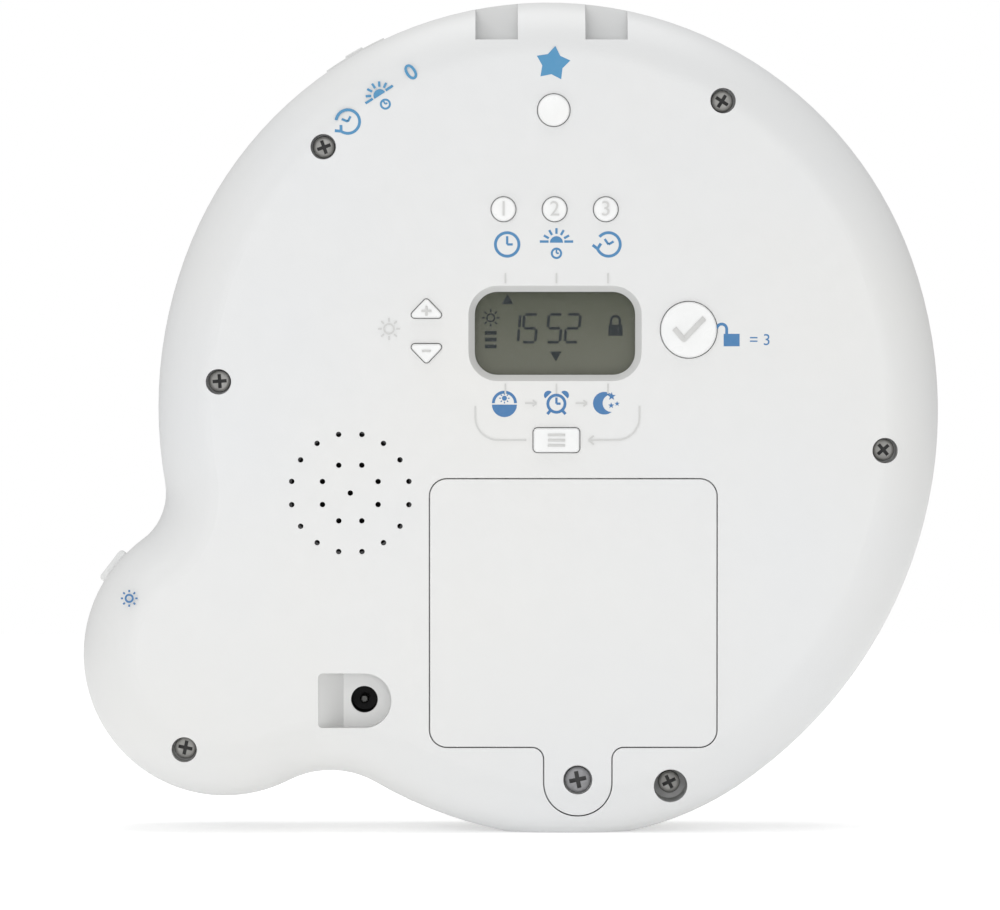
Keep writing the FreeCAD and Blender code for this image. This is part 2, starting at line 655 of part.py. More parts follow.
def button(make, x, z):
    """Cap with a rim inside the case and a stem that reaches for its switch."""
    face_y = BACK_Y - BUTTON_PROUD
    rim_y = BACK_Y + WALL + SEAT_GAP
    cap = make(0, face_y, rim_y + BUTTON_RIM_T)
    cap = cap.makeFillet(BUTTON_EDGE_R, back_rim(cap, face_y))
    rim = make(BUTTON_RIM, rim_y, rim_y + BUTTON_RIM_T)
    stem_end = BOARD_Y - TACT_BODY_H - TACT_PLUNGER_H - BUTTON_TRAVEL - BUTTON_FREE_PLAY
    stem = peg(x, z, BUTTON_STEM_R, rim_y, stem_end)
    return cap.multiFuse([rim, stem]).removeSplitter()


def tact_switch(x, z):
    """Small square switch on the back of the main board, with a round plunger."""
    half = TACT_SIDE / 2
    body = block(x - half, x + half, BOARD_Y - TACT_BODY_H, BOARD_Y, z - half, z + half)
    return body.fuse(peg(x, z, TACT_PLUNGER_R, BOARD_Y - TACT_BODY_H - TACT_PLUNGER_H, BOARD_Y - OVERCUT))


def pan_screw(x, z, head_r, y0, y1):
    """Screw with a rounded pan head that starts at y0, and a shank that ends at y1."""
    head = peg(x, z, head_r, y0, y0 + SCREW_HEAD_H)
    head = head.makeFillet(SCREW_EDGE_R, back_rim(head, y0))
    return head.fuse(peg(x, z, SCREW_R, y0 + SCREW_HEAD_H / 2, y1))


def main_board():
    board = plate([(x, z, 0) for x, z in BOARD_CORNERS], BOARD_Y, BOARD_Y + BOARD_T)
    for x, z in BOARD_POSTS:
        board = board.cut(peg(x, z, BOARD_SCREW_R + SLIDE_GAP, BOARD_Y - OVERCUT, BOARD_Y + BOARD_T + OVERCUT))
    return board


def board_screw(x, z, y):
    head = peg(x, z, BOARD_SCREW_HEAD_R, y, y + BOARD_SCREW_HEAD_H)
    return head.fuse(peg(x, z, BOARD_SCREW_R, y - BOARD_SCREW_LENGTH + BOARD_T, y + BOARD_SCREW_HEAD_H / 2))


def lcd_pieces():
    """Clear window, display cell and the frame that holds the cell off the board."""
    width, height = LCD_GLASS_W + 2 * LCD_WINDOW_MARGIN, LCD_GLASS_H + 2 * LCD_WINDOW_MARGIN
    window = plate(rectangle(LCD_X, LCD_Z, width, height, LCD_WINDOW_CORNER_R),
                   LCD_WINDOW_Y, LCD_WINDOW_Y + LCD_WINDOW_T)
    cell_y = LCD_WINDOW_Y + LCD_WINDOW_T + SEAT_GAP
    outline = rectangle(LCD_X, LCD_Z, width, height, LCD_CELL_CORNER_R)
    cell = plate(outline, cell_y, cell_y + LCD_CELL_T)
    frame = plate(outline, cell_y + LCD_CELL_T, BOARD_Y)
    frame = frame.cut(plate(rectangle(LCD_X, LCD_Z, LCD_GLASS_W, LCD_GLASS_H, LCD_CELL_CORNER_R), cell_y,
                            BOARD_Y + OVERCUT))
    return {"lcd_window": window, "lcd_cell": cell, "lcd_frame": frame}


def speaker_pieces():
    """Round loudspeaker: pressed basket, paper cone, magnet and the two screws that clamp it."""
    x, z, y0 = SPEAKER_X, SPEAKER_Z, SPEAKER_SEAT_Y
    y1 = y0 + SPEAKER_FLANGE_T
    y2 = y1 + SPEAKER_CONE_DEPTH
    throat_r = SPEAKER_R - SPEAKER_RIM_W - SPEAKER_SKIN
    basket = peg(x, z, SPEAKER_R, y0, y1)
    basket = basket.fuse(cone(x, z, SPEAKER_R - SPEAKER_RIM_W, SPEAKER_MAGNET_R, y1, y2))
    basket = basket.cut(peg(x, z, throat_r, y0 - OVERCUT, y1))
    basket = basket.cut(cone(x, z, throat_r, SPEAKER_MAGNET_R - SPEAKER_SKIN, y1, y2 - SPEAKER_SKIN))
    rim_r, rim_y = throat_r - PAPER_RIM_GAP, y0 + SEAT_GAP
    paper = cone(x, z, rim_r, PAPER_TIP_R, rim_y, rim_y + PAPER_DEPTH)
    paper = paper.cut(cone(x, z, rim_r - PAPER_T, PAPER_TIP_R - PAPER_T, rim_y - SEAT_GAP,
                           rim_y + PAPER_DEPTH - PAPER_T))
    magnet = peg(x, z, SPEAKER_MAGNET_R, y2, y2 + SPEAKER_MAGNET_H)
    screws = []
    for side in (-1, 1):
        spot = z + side * SPEAKER_SCREW_SPREAD
        head = peg(x, spot, BOARD_SCREW_HEAD_R + SPEAKER_CLAMP_W, y1, y1 + BOARD_SCREW_HEAD_H)
        screws.append(head.fuse(peg(x, spot, BOARD_SCREW_R, BACK_Y + WALL, y1 + BOARD_SCREW_HEAD_H / 2)))
    return {"speaker_basket": basket, "speaker_cone": paper, "speaker_magnet": magnet,
            "speaker_screws": Part.makeCompound(screws)}


def battery_door():
    """Door skin that follows the rounded edge, with two hooks and a cup for its screw."""
    door = plate(door_corners(0), -FAR, 0).common(form(0)).cut(form(DOOR_T))
    hooks = []
    hook_y = BACK_Y + WALL + SLIDE_GAP
    end_y = hook_y + HOOK_T
    for side in (-1, 1):
        left = DOOR_X + side * HOOK_SPREAD - HOOK_W / 2
        right = left + HOOK_W
        hooks.append(block(left, right, BACK_Y + DOOR_T / 2, end_y, DOOR_TOP_Z - HOOK_FOOT, DOOR_TOP_Z - HOOK_GAP))
        hooks.append(block(left, right, hook_y, end_y, DOOR_TOP_Z - HOOK_FOOT / 2, DOOR_TOP_Z + HOOK_RISE))
    door = door.multiFuse(hooks + [door_cup(0)])
    door = door.cut(peg(TAB_X, DOOR_SCREW_Z, DOOR_SCREW_WELL_R, -FAR, DOOR_SCREW_Y + SCREW_HEAD_H))
    door = door.cut(peg(TAB_X, DOOR_SCREW_Z, SCREW_R + SLIDE_GAP, -FAR, 0))
    return door.removeSplitter()


def cell_rows():
    """Height of each cell, and 1 where its plus end points right or -1 where it points left."""
    return [(BAY_Z + (i - 1) * CELL_PITCH, 1 if i % 2 == 0 else -1) for i in range(3)]


def battery_cell(z, way):
    """Round cell with its plus nub against the flat contact."""
    plus_end = DOOR_X + way * (BAY_W / 2 - CONTACT_T)
    can = Part.makeCylinder(CELL_R, CELL_LENGTH, V(plus_end - way * CELL_NUB_H, CELL_Y, z), V(-way, 0, 0))
    nub = Part.makeCylinder(CELL_NUB_R, 2 * CELL_NUB_H, V(plus_end, CELL_Y, z), V(-way, 0, 0))
    return can.fuse(nub)


def contact(z, side):
    inner = DOOR_X + side * (BAY_W / 2 - CONTACT_T)
    outer = DOOR_X + side * BAY_W / 2
    half = CONTACT_SIDE / 2
    return block(min(inner, outer), max(inner, outer), CELL_Y - half, CELL_Y + half, z - half, z + half)


def smooth_arcs(p0, t0, p1, t1):
    """Two arcs that run from p0 to p1 and follow the directions t0 and t1 there."""
    span, tangents = p1 - p0, t0 + t1
    a = tangents.dot(tangents) - 4
    b = -2 * span.dot(tangents)
    c = span.dot(span)
    reach = (-b - math.sqrt(b * b - 4 * a * c)) / (2 * a)
    if reach < 0:
        reach = (-b + math.sqrt(b * b - 4 * a * c)) / (2 * a)
    q0, q1 = p0 + t0 * reach, p1 - t1 * reach
    joint = (q0 + q1) * 0.5
    edges = []
    for start, corner, end in ((p0, q0, joint), (joint, q1, p1)):
        chord = (end - start).Length / 2
        weight = chord / reach
        middle = (start + corner * (2 * weight) + end) * (1 / (2 + 2 * weight))
        edges.append(Part.Arc(start, middle, end).toShape())
    return edges


def spring_point(turn, z, way):
    """Point and direction on the coil after this many turns from the contact."""
    length = SPRING_ROOM - 2 * (SPRING_WIRE_R + SEAT_GAP)
    share = turn / SPRING_TURNS
    radius = SPRING_BASE_R + (SPRING_TIP_R - SPRING_BASE_R) * share
    angle = 2 * math.pi * turn
    start = DOOR_X - way * (BAY_W / 2 - CONTACT_T - SPRING_WIRE_R - SPRING_END_GAP)
    point = V(start + way * length * share, CELL_Y + radius * math.cos(angle), z + radius * math.sin(angle))
    shrink = (SPRING_TIP_R - SPRING_BASE_R) / SPRING_TURNS
    swing = 2 * math.pi * radius
    direction = V(way * length / SPRING_TURNS, shrink * math.cos(angle) - swing * math.sin(angle),
                  shrink * math.sin(angle) + swing * math.cos(angle))
    return point, direction.normalize()


def battery_spring(z, way):
    """Cone-shaped coil of one unbroken wire between the contact and the cell's flat end."""
    quarters = [spring_point(i / 4, z, way) for i in range(4 * SPRING_TURNS + 1)]
    edges = []
    for (p0, t0), (p1, t1) in zip(quarters, quarters[1:]):
        edges += smooth_arcs(p0, t0, p1, t1)
    path = Part.Wire(edges)
    start, heading = quarters[0]
    ring = Part.Wire([Part.makeCircle(SPRING_WIRE_R, start, heading)])
    return path.makePipeShell([ring], True, False)


def spring_gap():
    """Least gap between neighbouring turns of a battery spring, measured on points along it."""
    steps = 48
    points = [spring_point(i / steps, 0, 1)[0] for i in range(steps * SPRING_TURNS + 1)]
    pairs = ((p, q) for i, p in enumerate(points) for q in points[i + steps // 2:])
    return min((p - q).Length for p, q in pairs) - 2 * SPRING_WIRE_R


def dc_jack():
    half = JACK_SIDE / 2
    body = block(JACK_X - half, JACK_X + half, JACK_Y, JACK_Y + JACK_LENGTH, JACK_Z - half, JACK_Z + half)
    return body.cut(peg(JACK_X, JACK_Z, JACK_BORE_R, JACK_Y - OVERCUT, JACK_Y + JACK_LENGTH - JACK_BACK_T))


def dc_pin():
    tip_y = JACK_Y + JACK_PIN_SETBACK
    pin = peg(JACK_X, JACK_Z, JACK_PIN_R, tip_y, JACK_Y + JACK_LENGTH - JACK_BACK_T)
    return pin.makeFillet(JACK_PIN_EDGE_R, back_rim(pin, tip_y))


def rim_switch_pieces():
    """Three-position slide switch behind the rim: knob with its carrier, switch body and board."""
    y = RIM_SWITCH_Y
    low = RIM_CARRIER_TOP - RIM_CARRIER_T
    knob = rim_box(TOP_ARC, RIM_KNOB_L / 2, y, RIM_KNOB_W / 2, low, RIM_KNOB_PROUD)
    knob = knob.makeFillet(RIM_KNOB_EDGE_R, rim_top(knob, TOP_ARC, RIM_KNOB_PROUD))
    carrier = rim_box(TOP_ARC, RIM_CARRIER_HALF, y, RIM_KNOB_W / 2 + RIM_CARRIER_MARGIN, low, RIM_CARRIER_TOP)
    switch_top = RIM_BOARD_TOP + RIM_SWITCH_H
    leg = rim_box(TOP_ARC, RIM_LEG_HALF, y, RIM_LEG_HALF_W, switch_top + RIM_LEG_GAP, low)
    knob = knob.multiFuse([carrier, leg])
    body = rim_box(TOP_ARC, RIM_SWITCH_HALF, y, RIM_SWITCH_HALF_W, RIM_BOARD_TOP, switch_top)
    board = rim_box(TOP_ARC, RIM_RIB_HALF + RIB_T, y, RIM_KNOB_W / 2 + RIM_BOARD_MARGIN,
                    RIM_BOARD_TOP - SMALL_BOARD_T, RIM_BOARD_TOP)
    names = {"mode_slider": knob, "slide_switch": body, "slide_switch_board": board}
    return {name: turned(shape, TOP_ARC, RIM_SWITCH_ANGLE) for name, shape in names.items()}


def light_button_pieces():
    """Push button on the lobe's rim, with its switch and the small board behind it."""
    y = LIGHT_BUTTON_Y
    cap = rim_box(LOBE_ARC, LIGHT_BUTTON_L / 2, y, LIGHT_BUTTON_W / 2, LIGHT_RIM_LOW, LIGHT_BUTTON_PROUD)
    cap = cap.makeFillet(LIGHT_EDGE_R, rim_top(cap, LOBE_ARC, LIGHT_BUTTON_PROUD))
    rim = rim_box(LOBE_ARC, LIGHT_RIM_HALF, y, LIGHT_BUTTON_W / 2 + LIGHT_RIM_SIDE, LIGHT_RIM_LOW, LIGHT_RIM_TOP)
    stem = rim_box(LOBE_ARC, LIGHT_STEM_HALF, y, LIGHT_STEM_HALF, LIGHT_RIM_LOW - LIGHT_STEM_H, LIGHT_RIM_LOW)
    cap = cap.multiFuse([rim, stem])
    half = TACT_SIDE / 2
    switch = rim_box(LOBE_ARC, half, y, half, LIGHT_BOARD_TOP, LIGHT_SWITCH_TOP)
    top = V(LOBE_ARC[0], y, LOBE_ARC[1] + LOBE_ARC[2] + LIGHT_SWITCH_TOP)
    switch = switch.fuse(Part.makeCylinder(TACT_PLUNGER_R, TACT_PLUNGER_H, top))
    board = rim_box(LOBE_ARC, LIGHT_RIB_HALF + RIB_T, y, PARTING_Y - LIGHT_BUTTON_Y,
                    LIGHT_BOARD_TOP - SMALL_BOARD_T, LIGHT_BOARD_TOP)
    names = {"light_button": cap, "light_switch": switch, "light_switch_board": board}
    return {name: turned(shape, LOBE_ARC, LIGHT_BUTTON_ANGLE) for name, shape in names.items()}


def lens(x, z, radius):
    """Frosted disc with a rounded front edge, lying in its ledge."""
    y0 = FRONT_Y - WALL + SEAT_GAP
    disc = peg(x, z, radius - LENS_GAP, y0, y0 + LENS_T)
    front = [edge for edge in disc.Edges if edge.BoundBox.YMin > y0 + LENS_T / 2]
    return disc.makeFillet(LENS_EDGE_R, front)


def lamp(x, z, y):
    half = LED_SIDE / 2
    return block(x - half, x + half, y, y + LED_H, z - half, z + half)


def night_light_pieces():
    """Frosted face, light tray, board and lamps, and the smaller set in the lobe."""
    outer = FACE_R - TRAY_MARGIN
    tray = peg(FACE_X, FACE_Z, outer, TRAY_BACK_Y, LENS_SEAT_Y - SEAT_GAP)
    board_y = TRAY_BACK_Y + TRAY_WALL
    tray = tray.cut(peg(FACE_X, FACE_Z, outer - TRAY_WALL, board_y, FAR))
    lamp_y = board_y + SMALL_BOARD_T
    board = peg(FACE_X, FACE_Z, LED_BOARD_R, board_y, lamp_y)
    board = board.cut(peg(FACE_X, FACE_Z, LED_BOARD_R / 2, board_y - OVERCUT, lamp_y + OVERCUT))
    lamps = []
    for i in range(LED_COUNT):
        angle = 2 * math.pi * i / LED_COUNT
        lamps.append(lamp(FACE_X + LED_RING_R * math.cos(angle), FACE_Z + LED_RING_R * math.sin(angle), lamp_y))
    lobe_x, lobe_z, _ = LOBE_ARC
    half = LOBE_LENS_R + LOBE_BOARD_MARGIN
    lobe_board = block(lobe_x - half, lobe_x + half, LOBE_BOARD_Y - SMALL_BOARD_T, LOBE_BOARD_Y,
                       lobe_z - LOBE_BOARD_H / 2, lobe_z + LOBE_BOARD_H / 2)
    lobe_lamp = lamp(lobe_x, lobe_z, LOBE_BOARD_Y)
    return {"night_light_lens": lens(FACE_X, FACE_Z, FACE_R), "lobe_lens": lens(lobe_x, lobe_z, LOBE_LENS_R),
            "light_tray": tray, "led_board": board, "led_lamps": Part.makeCompound(lamps),
            "lobe_led_board": lobe_board, "lobe_led_lamp": lobe_lamp}


def pieces():
    """Every separate piece of the clock by name."""
    made = {"back_shell": back_shell(), "front_shell": front_shell()}
    for name, x, z, make in button_places():
        made[name] = button(make, x, z)
    made["tact_switches"] = Part.makeCompound([tact_switch(x, z) for _, x, z, _ in button_places()])
    made["case_screws"] = Part.makeCompound([
        pan_screw(x, z, SCREW_HEAD_R, floor - SCREW_HEAD_H, floor + SCREW_LENGTH) for x, z, _, floor in wells()])
    made["main_board"] = main_board()
    made["board_screws"] = Part.makeCompound([board_screw(x, z, BOARD_Y + BOARD_T) for x, z in BOARD_POSTS])
    made.update(lcd_pieces())
    made.update(speaker_pieces())
    made["battery_door"] = battery_door()
    made["door_screw"] = pan_screw(TAB_X, DOOR_SCREW_Z, DOOR_SCREW_HEAD_R, DOOR_SCREW_Y,
                                   DOOR_CUP_END_Y + DOOR_SCREW_GRIP)
    rows = cell_rows()
    for number, (z, way) in enumerate(rows, 1):
        made[f"battery_cell_{number}"] = battery_cell(z, way)
    made["battery_contacts"] = Part.makeCompound([contact(z, side) for z, _ in rows for side in (-1, 1)])
    made["battery_springs"] = Part.makeCompound([battery_spring(z, way) for z, way in rows])
    made["dc_jack"] = dc_jack()
    made["dc_pin"] = dc_pin()
    made.update(rim_switch_pieces())
    made.update(light_button_pieces())
    made.update(night_light_pieces())
    return made


os.makedirs("parts", exist_ok=True)
for node, shape in pieces().items():
    box = shape.BoundBox
    print(node, "solids", len(shape.Solids), "valid", shape.isValid(), "x", round(box.XMin, 1), round(box.XMax, 1),
          "y", round(box.YMin, 1), round(box.YMax, 1), "z", round(box.ZMin, 1), round(box.ZMax, 1))
    shape.exportStep(f"parts/{node}.step")
print("least gap between spring turns", round(spring_gap(), 2))
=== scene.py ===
import bpy
import math
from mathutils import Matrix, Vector


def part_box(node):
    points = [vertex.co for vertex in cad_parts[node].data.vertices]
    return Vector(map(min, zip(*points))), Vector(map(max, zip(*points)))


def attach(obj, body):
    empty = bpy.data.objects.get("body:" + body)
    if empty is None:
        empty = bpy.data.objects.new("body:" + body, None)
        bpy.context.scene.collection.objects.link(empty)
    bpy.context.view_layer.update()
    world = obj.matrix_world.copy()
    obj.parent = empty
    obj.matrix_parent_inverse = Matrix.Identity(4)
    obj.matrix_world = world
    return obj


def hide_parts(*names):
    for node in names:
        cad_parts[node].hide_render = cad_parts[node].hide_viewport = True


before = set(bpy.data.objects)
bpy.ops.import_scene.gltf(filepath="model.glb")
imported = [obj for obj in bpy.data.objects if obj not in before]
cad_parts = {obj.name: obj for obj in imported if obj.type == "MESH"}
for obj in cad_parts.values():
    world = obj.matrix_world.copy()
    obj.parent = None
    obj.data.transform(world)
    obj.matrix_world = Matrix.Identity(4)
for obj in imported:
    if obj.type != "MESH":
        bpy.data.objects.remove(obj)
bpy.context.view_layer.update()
MM = 0.001

# Camera and stage. The clock stands on a plain pale table and is seen from straight
# behind, a little above its middle, with a long lens.
TARGET = Vector((-2.3, 0.0, 82.8)) * MM
STAND_OFF = 1800 * MM
EYE_RISE = 46 * MM
EYE_SIDE = -6 * MM
VIEW_WIDTH = 221.9 * MM
SENSOR = 36.0

bpy.ops.object.select_all(action="DESELECT")
eye = TARGET + Vector((EYE_SIDE, -STAND_OFF, EYE_RISE))
bpy.ops.object.camera_add(location=eye)
camera = bpy.context.object
camera.rotation_euler = (TARGET - eye).to_track_quat("-Z", "Y").to_euler()
camera.data.sensor_width = SENSOR
camera.data.lens = SENSOR * (TARGET - eye).length / VIEW_WIDTH
camera.data.clip_end = 50
bpy.context.scene.camera = camera
bpy.context.scene.view_settings.view_transform = "Standard"

FLOOR_SIZE = 1.8
SURROUND_STRENGTH = 0.58
bpy.ops.mesh.primitive_plane_add(size=FLOOR_SIZE)
floor = bpy.context.object
floor.name = "floor"


def area_light(name, place, size, power):
    """Square soft light aimed at the clock."""
    bpy.ops.object.light_add(type="AREA", location=place)
    light = bpy.context.object
    light.name = name
    light.data.size = size
    light.data.energy = power
    light.rotation_euler = (TARGET - Vector(place)).to_track_quat("-Z", "Y").to_euler()


area_light("key", (-0.8, -1.3, 1.1), 0.8, 4.2)
area_light("front", (-0.05, -1.7, 0.2), 0.5, 5.0)
area_light("top", (0.0, 0.0, 1.4), 1.2, 9.0)

# The surroundings light the clock softly, but the camera sees them as plain white.
world = bpy.data.worlds.new("studio")
bpy.context.scene.world = world
world.use_nodes = True
studio = world.node_tree
surround = studio.nodes["Background"]
surround.inputs["Strength"].default_value = SURROUND_STRENGTH
backdrop = studio.nodes.new("ShaderNodeBackground")
shown = studio.nodes.new("ShaderNodeMixShader")
seen = studio.nodes.new("ShaderNodeLightPath")
for lamp_node in (surround, backdrop):
    lamp_node.inputs["Color"].default_value = (1, 1, 1, 1)
studio.links.new(seen.outputs["Is Camera Ray"], shown.inputs[0])
studio.links.new(surround.outputs[0], shown.inputs[1])
studio.links.new(backdrop.outputs[0], shown.inputs[2])
studio.links.new(shown.outputs[0], studio.nodes["World Output"].inputs["Surface"])


class Link:
    """One socket of a material, so that shader maths reads as Python expressions."""

    def __init__(self, tree, socket=None):
        self.tree = tree
        self.socket = socket

    def add(self, kind, settings, inputs, output=0):
        """Any other node: its settings, its inputs by name or number, and the output wanted."""
        node = self.tree.nodes.new(kind)
        for key, value in settings.items():
            setattr(node, key, value)
        for key, value in inputs.items():
            if isinstance(value, Link):
                self.tree.links.new(value.socket, node.inputs[key])
            else:
                node.inputs[key].default_value = value
        return Link(self.tree, node.outputs[output])

    def maths(self, operation, first, second):
        return self.add("ShaderNodeMath", {"operation": operation}, {0: first, 1: second})

    def __add__(self, other):
        return self.maths("ADD", self, other)

    def __mul__(self, other):
        return self.maths("MULTIPLY", self, other)

    def __sub__(self, other):
        return self.maths("SUBTRACT", self, other)

    def __rsub__(self, other):
        return self.maths("SUBTRACT", other, self)

    def __gt__(self, other):
        return self.maths("GREATER_THAN", self, other)

    __radd__ = __add__
    __rmul__ = __mul__

    def depth(self):
        return self.add("ShaderNodeSeparateXYZ", {}, {0: self}, 1)

    def height(self):
        return self.add("ShaderNodeSeparateXYZ", {}, {0: self}, 2)

    def noise(self, scale, detail=2.0):
        return self.add("ShaderNodeTexNoise", {}, {"Vector": self, "Scale": scale, "Detail": detail})

    def blend(self, low, high):
        """Colour that runs from low to high as this value runs from 0 to 1."""
        return self.add("ShaderNodeMix", {"data_type": "RGBA"}, {"Factor": self, 6: low, 7: high}, 2)

    def bump(self, strength, depth):
        return self.add("ShaderNodeBump", {}, {"Height": self, "Strength": strength, "Distance": depth})


def finish(name, colour, roughness, relief=None, metallic=0.0, settings=None):
    """Material from functions of the place on the piece: its colour, roughness and relief."""
    material = bpy.data.materials.new(name)
    material.use_nodes = True
    tree = material.node_tree
    shader = tree.nodes["Principled BSDF"]
    place = Link(tree).add("ShaderNodeTexCoord", {}, {}, "Object")
    tree.links.new(colour(place).socket, shader.inputs["Base Color"])
    tree.links.new(roughness(place).socket, shader.inputs["Roughness"])
    if relief:
        tree.links.new(relief(place).socket, shader.inputs["Normal"])
    shader.inputs["Metallic"].default_value = metallic
    for key, value in (settings or {}).items():
        shader.inputs[key].default_value = value
    return material


def dress(material, *names):
    """Give CAD nodes a finish."""
    for name in names:
        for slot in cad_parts[name].material_slots:
            slot.material = material


floor.data.materials.append(finish(
    "pale floor",
    lambda p: p.noise(3.0).blend((0.93, 0.93, 0.93, 1), (0.95, 0.95, 0.95, 1)),
    lambda p: p.noise(8.0) * 0.1 + 0.6,
    settings={"Emission Color": (1, 1, 1, 1), "Emission Strength": 0.3}))

# Case. Both halves, the battery door and the slide are moulded in the same white
# plastic, with a very fine spark-eroded grain and a soft satin gloss.
CASE_WARM = (0.665, 0.662, 0.645, 1)
CASE_COOL = (0.645, 0.655, 0.665, 1)
case_plastic = finish(
    "moulded white",
    lambda p: (p.noise(14.0) * 1.6 - 0.3).blend(CASE_WARM, CASE_COOL),
    lambda p: p.noise(300.0) * 0.12 + 0.34,
    lambda p: p.noise(2600.0, 3.0).bump(0.12, 0.0001),
    settings={"Specular IOR Level": 0.45})
dress(case_plastic, "back_shell", "front_shell", "battery_door", "mode_slider")

# Push buttons. The caps come from a smoother mould than the case and are handled,
# so they are a touch glossier, with faint rub marks.
button_plastic = finish(
    "button white",
    lambda p: p.noise(60.0).blend((0.70, 0.70, 0.685, 1), (0.68, 0.69, 0.695, 1)),
    lambda p: p.noise(220.0, 4.0) * 0.2 + 0.2,
    lambda p: p.noise(1500.0).bump(0.06, 0.0001),
    settings={"Coat Weight": 0.15, "Coat Roughness": 0.25})
dress(button_plastic, "star_button", "button_1", "button_2", "button_3", "ok_button", "mode_button",
      "plus_button", "minus_button", "light_button")

# Raised marks on the caps. Digits and signs are moulded with each cap and stand proud
# of it; they are coloured a darker grey than the cap, as painted shade on the relief.
# Parts that overlap differ a little in thickness, so that no two faces coincide.
cap_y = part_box("ok_button")[0][1]


def middle(node):
    low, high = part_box(node)
    return ((low[0] + high[0]) / 2, (low[2] + high[2]) / 2)


def place_mesh(piece):
    """Put the object's place, turn and scale into its mesh."""
    bpy.ops.object.select_all(action="DESELECT")
    piece.select_set(True)
    bpy.context.view_layer.objects.active = piece
    bpy.ops.object.transform_apply(location=True, rotation=True, scale=True)
    return piece


def bar(x, z, length, width, thickness, face_y, turn=0.0):
    """Flat bar on a face; turn is in degrees, anticlockwise as seen from behind."""
    bpy.ops.object.select_all(action="DESELECT")
    bpy.ops.mesh.primitive_cube_add(size=1, location=(x, face_y - thickness / 2, z),
                                    rotation=(0, -math.radians(turn), 0), scale=(length, thickness, width))
    piece = bpy.context.object
    return place_mesh(piece)


def disc(x, z, radius, thickness, face_y, corners=32):
    """Flat disc on a face."""
    bpy.ops.object.select_all(action="DESELECT")
    bpy.ops.mesh.primitive_cylinder_add(vertices=corners, radius=radius, depth=thickness,
                                        location=(x, face_y - thickness / 2, z),
                                        rotation=(math.pi / 2, 0, 0))
    return place_mesh(bpy.context.object)


TEXT_SIZE = 1.4  # of the height of a digit


def letters(text, x, z, height, thickness, face_y, turn=0.0, weight=0.0):
    """Plain characters as a flat mesh, read from behind."""
    bpy.ops.object.select_all(action="DESELECT")
    bpy.ops.object.text_add(location=(x, face_y - thickness / 2, z), rotation=(math.pi / 2, 0, 0))
    words = bpy.context.object
    words.data.body = text
    words.data.align_x = "CENTER"
    words.data.align_y = "CENTER"
    words.data.size = height * TEXT_SIZE
    words.data.offset = weight
    words.data.extrude = thickness / 2
    words.data.resolution_u = 4
    bpy.ops.object.convert(target="MESH")
    piece = place_mesh(bpy.context.object)
    if turn:
        bpy.ops.object.mode_set(mode="EDIT")
        bpy.ops.mesh.select_all(action="SELECT")
        bpy.ops.transform.rotate(value=math.radians(turn), orient_axis="Y", orient_type="GLOBAL",
                                 center_override=(x, 0, z))
        bpy.ops.object.mode_set(mode="OBJECT")
    return piece


def unite(name, parts, body, material, soft=None):
    """Join the parts of one piece, dress it and let it ride on its body."""
    bpy.ops.object.select_all(action="DESELECT")
    for part in parts:
        part.select_set(True)
    bpy.context.view_layer.objects.active = parts[0]
    if len(parts) > 1:
        bpy.ops.object.join()
    piece = bpy.context.object
    piece.name = name
    piece.data.name = name
    place_mesh(piece)
    piece.data.materials.clear()
    piece.data.materials.append(material)
    if soft:
        bevel = piece.modifiers.new("edge", "BEVEL")
        bevel.width = soft
        bevel.segments = 2
        bevel.limit_method = "ANGLE"
        bpy.ops.object.modifier_apply(modifier="edge")
    bpy.ops.object.shade_smooth_by_angle(angle=math.radians(35))
    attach(piece, body)
    return piece


MARK = 0.22 * MM
MARK_SINK = 0.05 * MM
MARK_EDGE = 0.05 * MM
CAP_DIGIT_H = 3.3 * MM
TICK_W = 1.15 * MM
TICK_CORNERS = [(-3.2, 0.3), (-1.1, -2.1), (3.4, 2.6)]
MENU_BAR_L = 3.8 * MM
MENU_BAR_W = 0.55 * MM
MENU_PITCH = 1.15 * MM
SIGN_BAR_W = 0.5 * MM
PLUS_L = 2.2 * MM
MINUS_L = 1.9 * MM
SIGN_SHIFT = 0.5 * MM
mark_face = cap_y + MARK_SINK
mark_t = MARK + MARK_SINK
# Painted shade: the marks and ribs are coloured mid grey, darker than the white plastic they are moulded
# in.
mark_painted_shade_plastic = finish(
    "raised mark painted grey shade",
    lambda p: p.noise(900.0).blend((0.50, 0.50, 0.49, 1), (0.56, 0.56, 0.55, 1)),
    lambda p: p.noise(500.0) * 0.15 + 0.35,
    lambda p: p.noise(2400.0).bump(0.1, 0.0001))


def raised(name, parts, button):
    return unite(name, parts, button, mark_painted_shade_plastic, MARK_EDGE)


def stroke(start, end, width, thickness, face_y):
    """Straight bar between two points of a face."""
    dx, dz = end[0] - start[0], end[1] - start[1]
    return bar((start[0] + end[0]) / 2, (start[1] + end[1]) / 2, math.hypot(dx, dz), width,
               thickness, face_y, math.degrees(math.atan2(dz, dx)))


for number in (1, 2, 3):
    x, z = middle(f"button_{number}")
    unite(f"digit_{number}", [letters(str(number), x, z, CAP_DIGIT_H, mark_t, mark_face)],
          f"button_{number}", mark_painted_shade_plastic)
x, z = middle("ok_button")
spots = [(x + dx * MM, z + dz * MM) for dx, dz in TICK_CORNERS]
raised("tick_mark", [stroke(spots[0], spots[1], TICK_W, mark_t, mark_face),
                     stroke(spots[1], spots[2], TICK_W, mark_t * 0.99, mark_face),
                     disc(*spots[1], TICK_W / 2, mark_t * 0.98, mark_face)], "ok_button")
x, z = middle("mode_button")
raised("mode_mark", [bar(x, z + row * MENU_PITCH, MENU_BAR_L, MENU_BAR_W, mark_t, mark_face)
                     for row in (-1, 0, 1)], "mode_button")
x, z = middle("plus_button")
raised("plus_mark", [bar(x, z - SIGN_SHIFT, PLUS_L, SIGN_BAR_W, mark_t, mark_face),
                     bar(x, z - SIGN_SHIFT, SIGN_BAR_W, PLUS_L, mark_t * 0.98, mark_face)], "plus_button")
x, z = middle("minus_button")
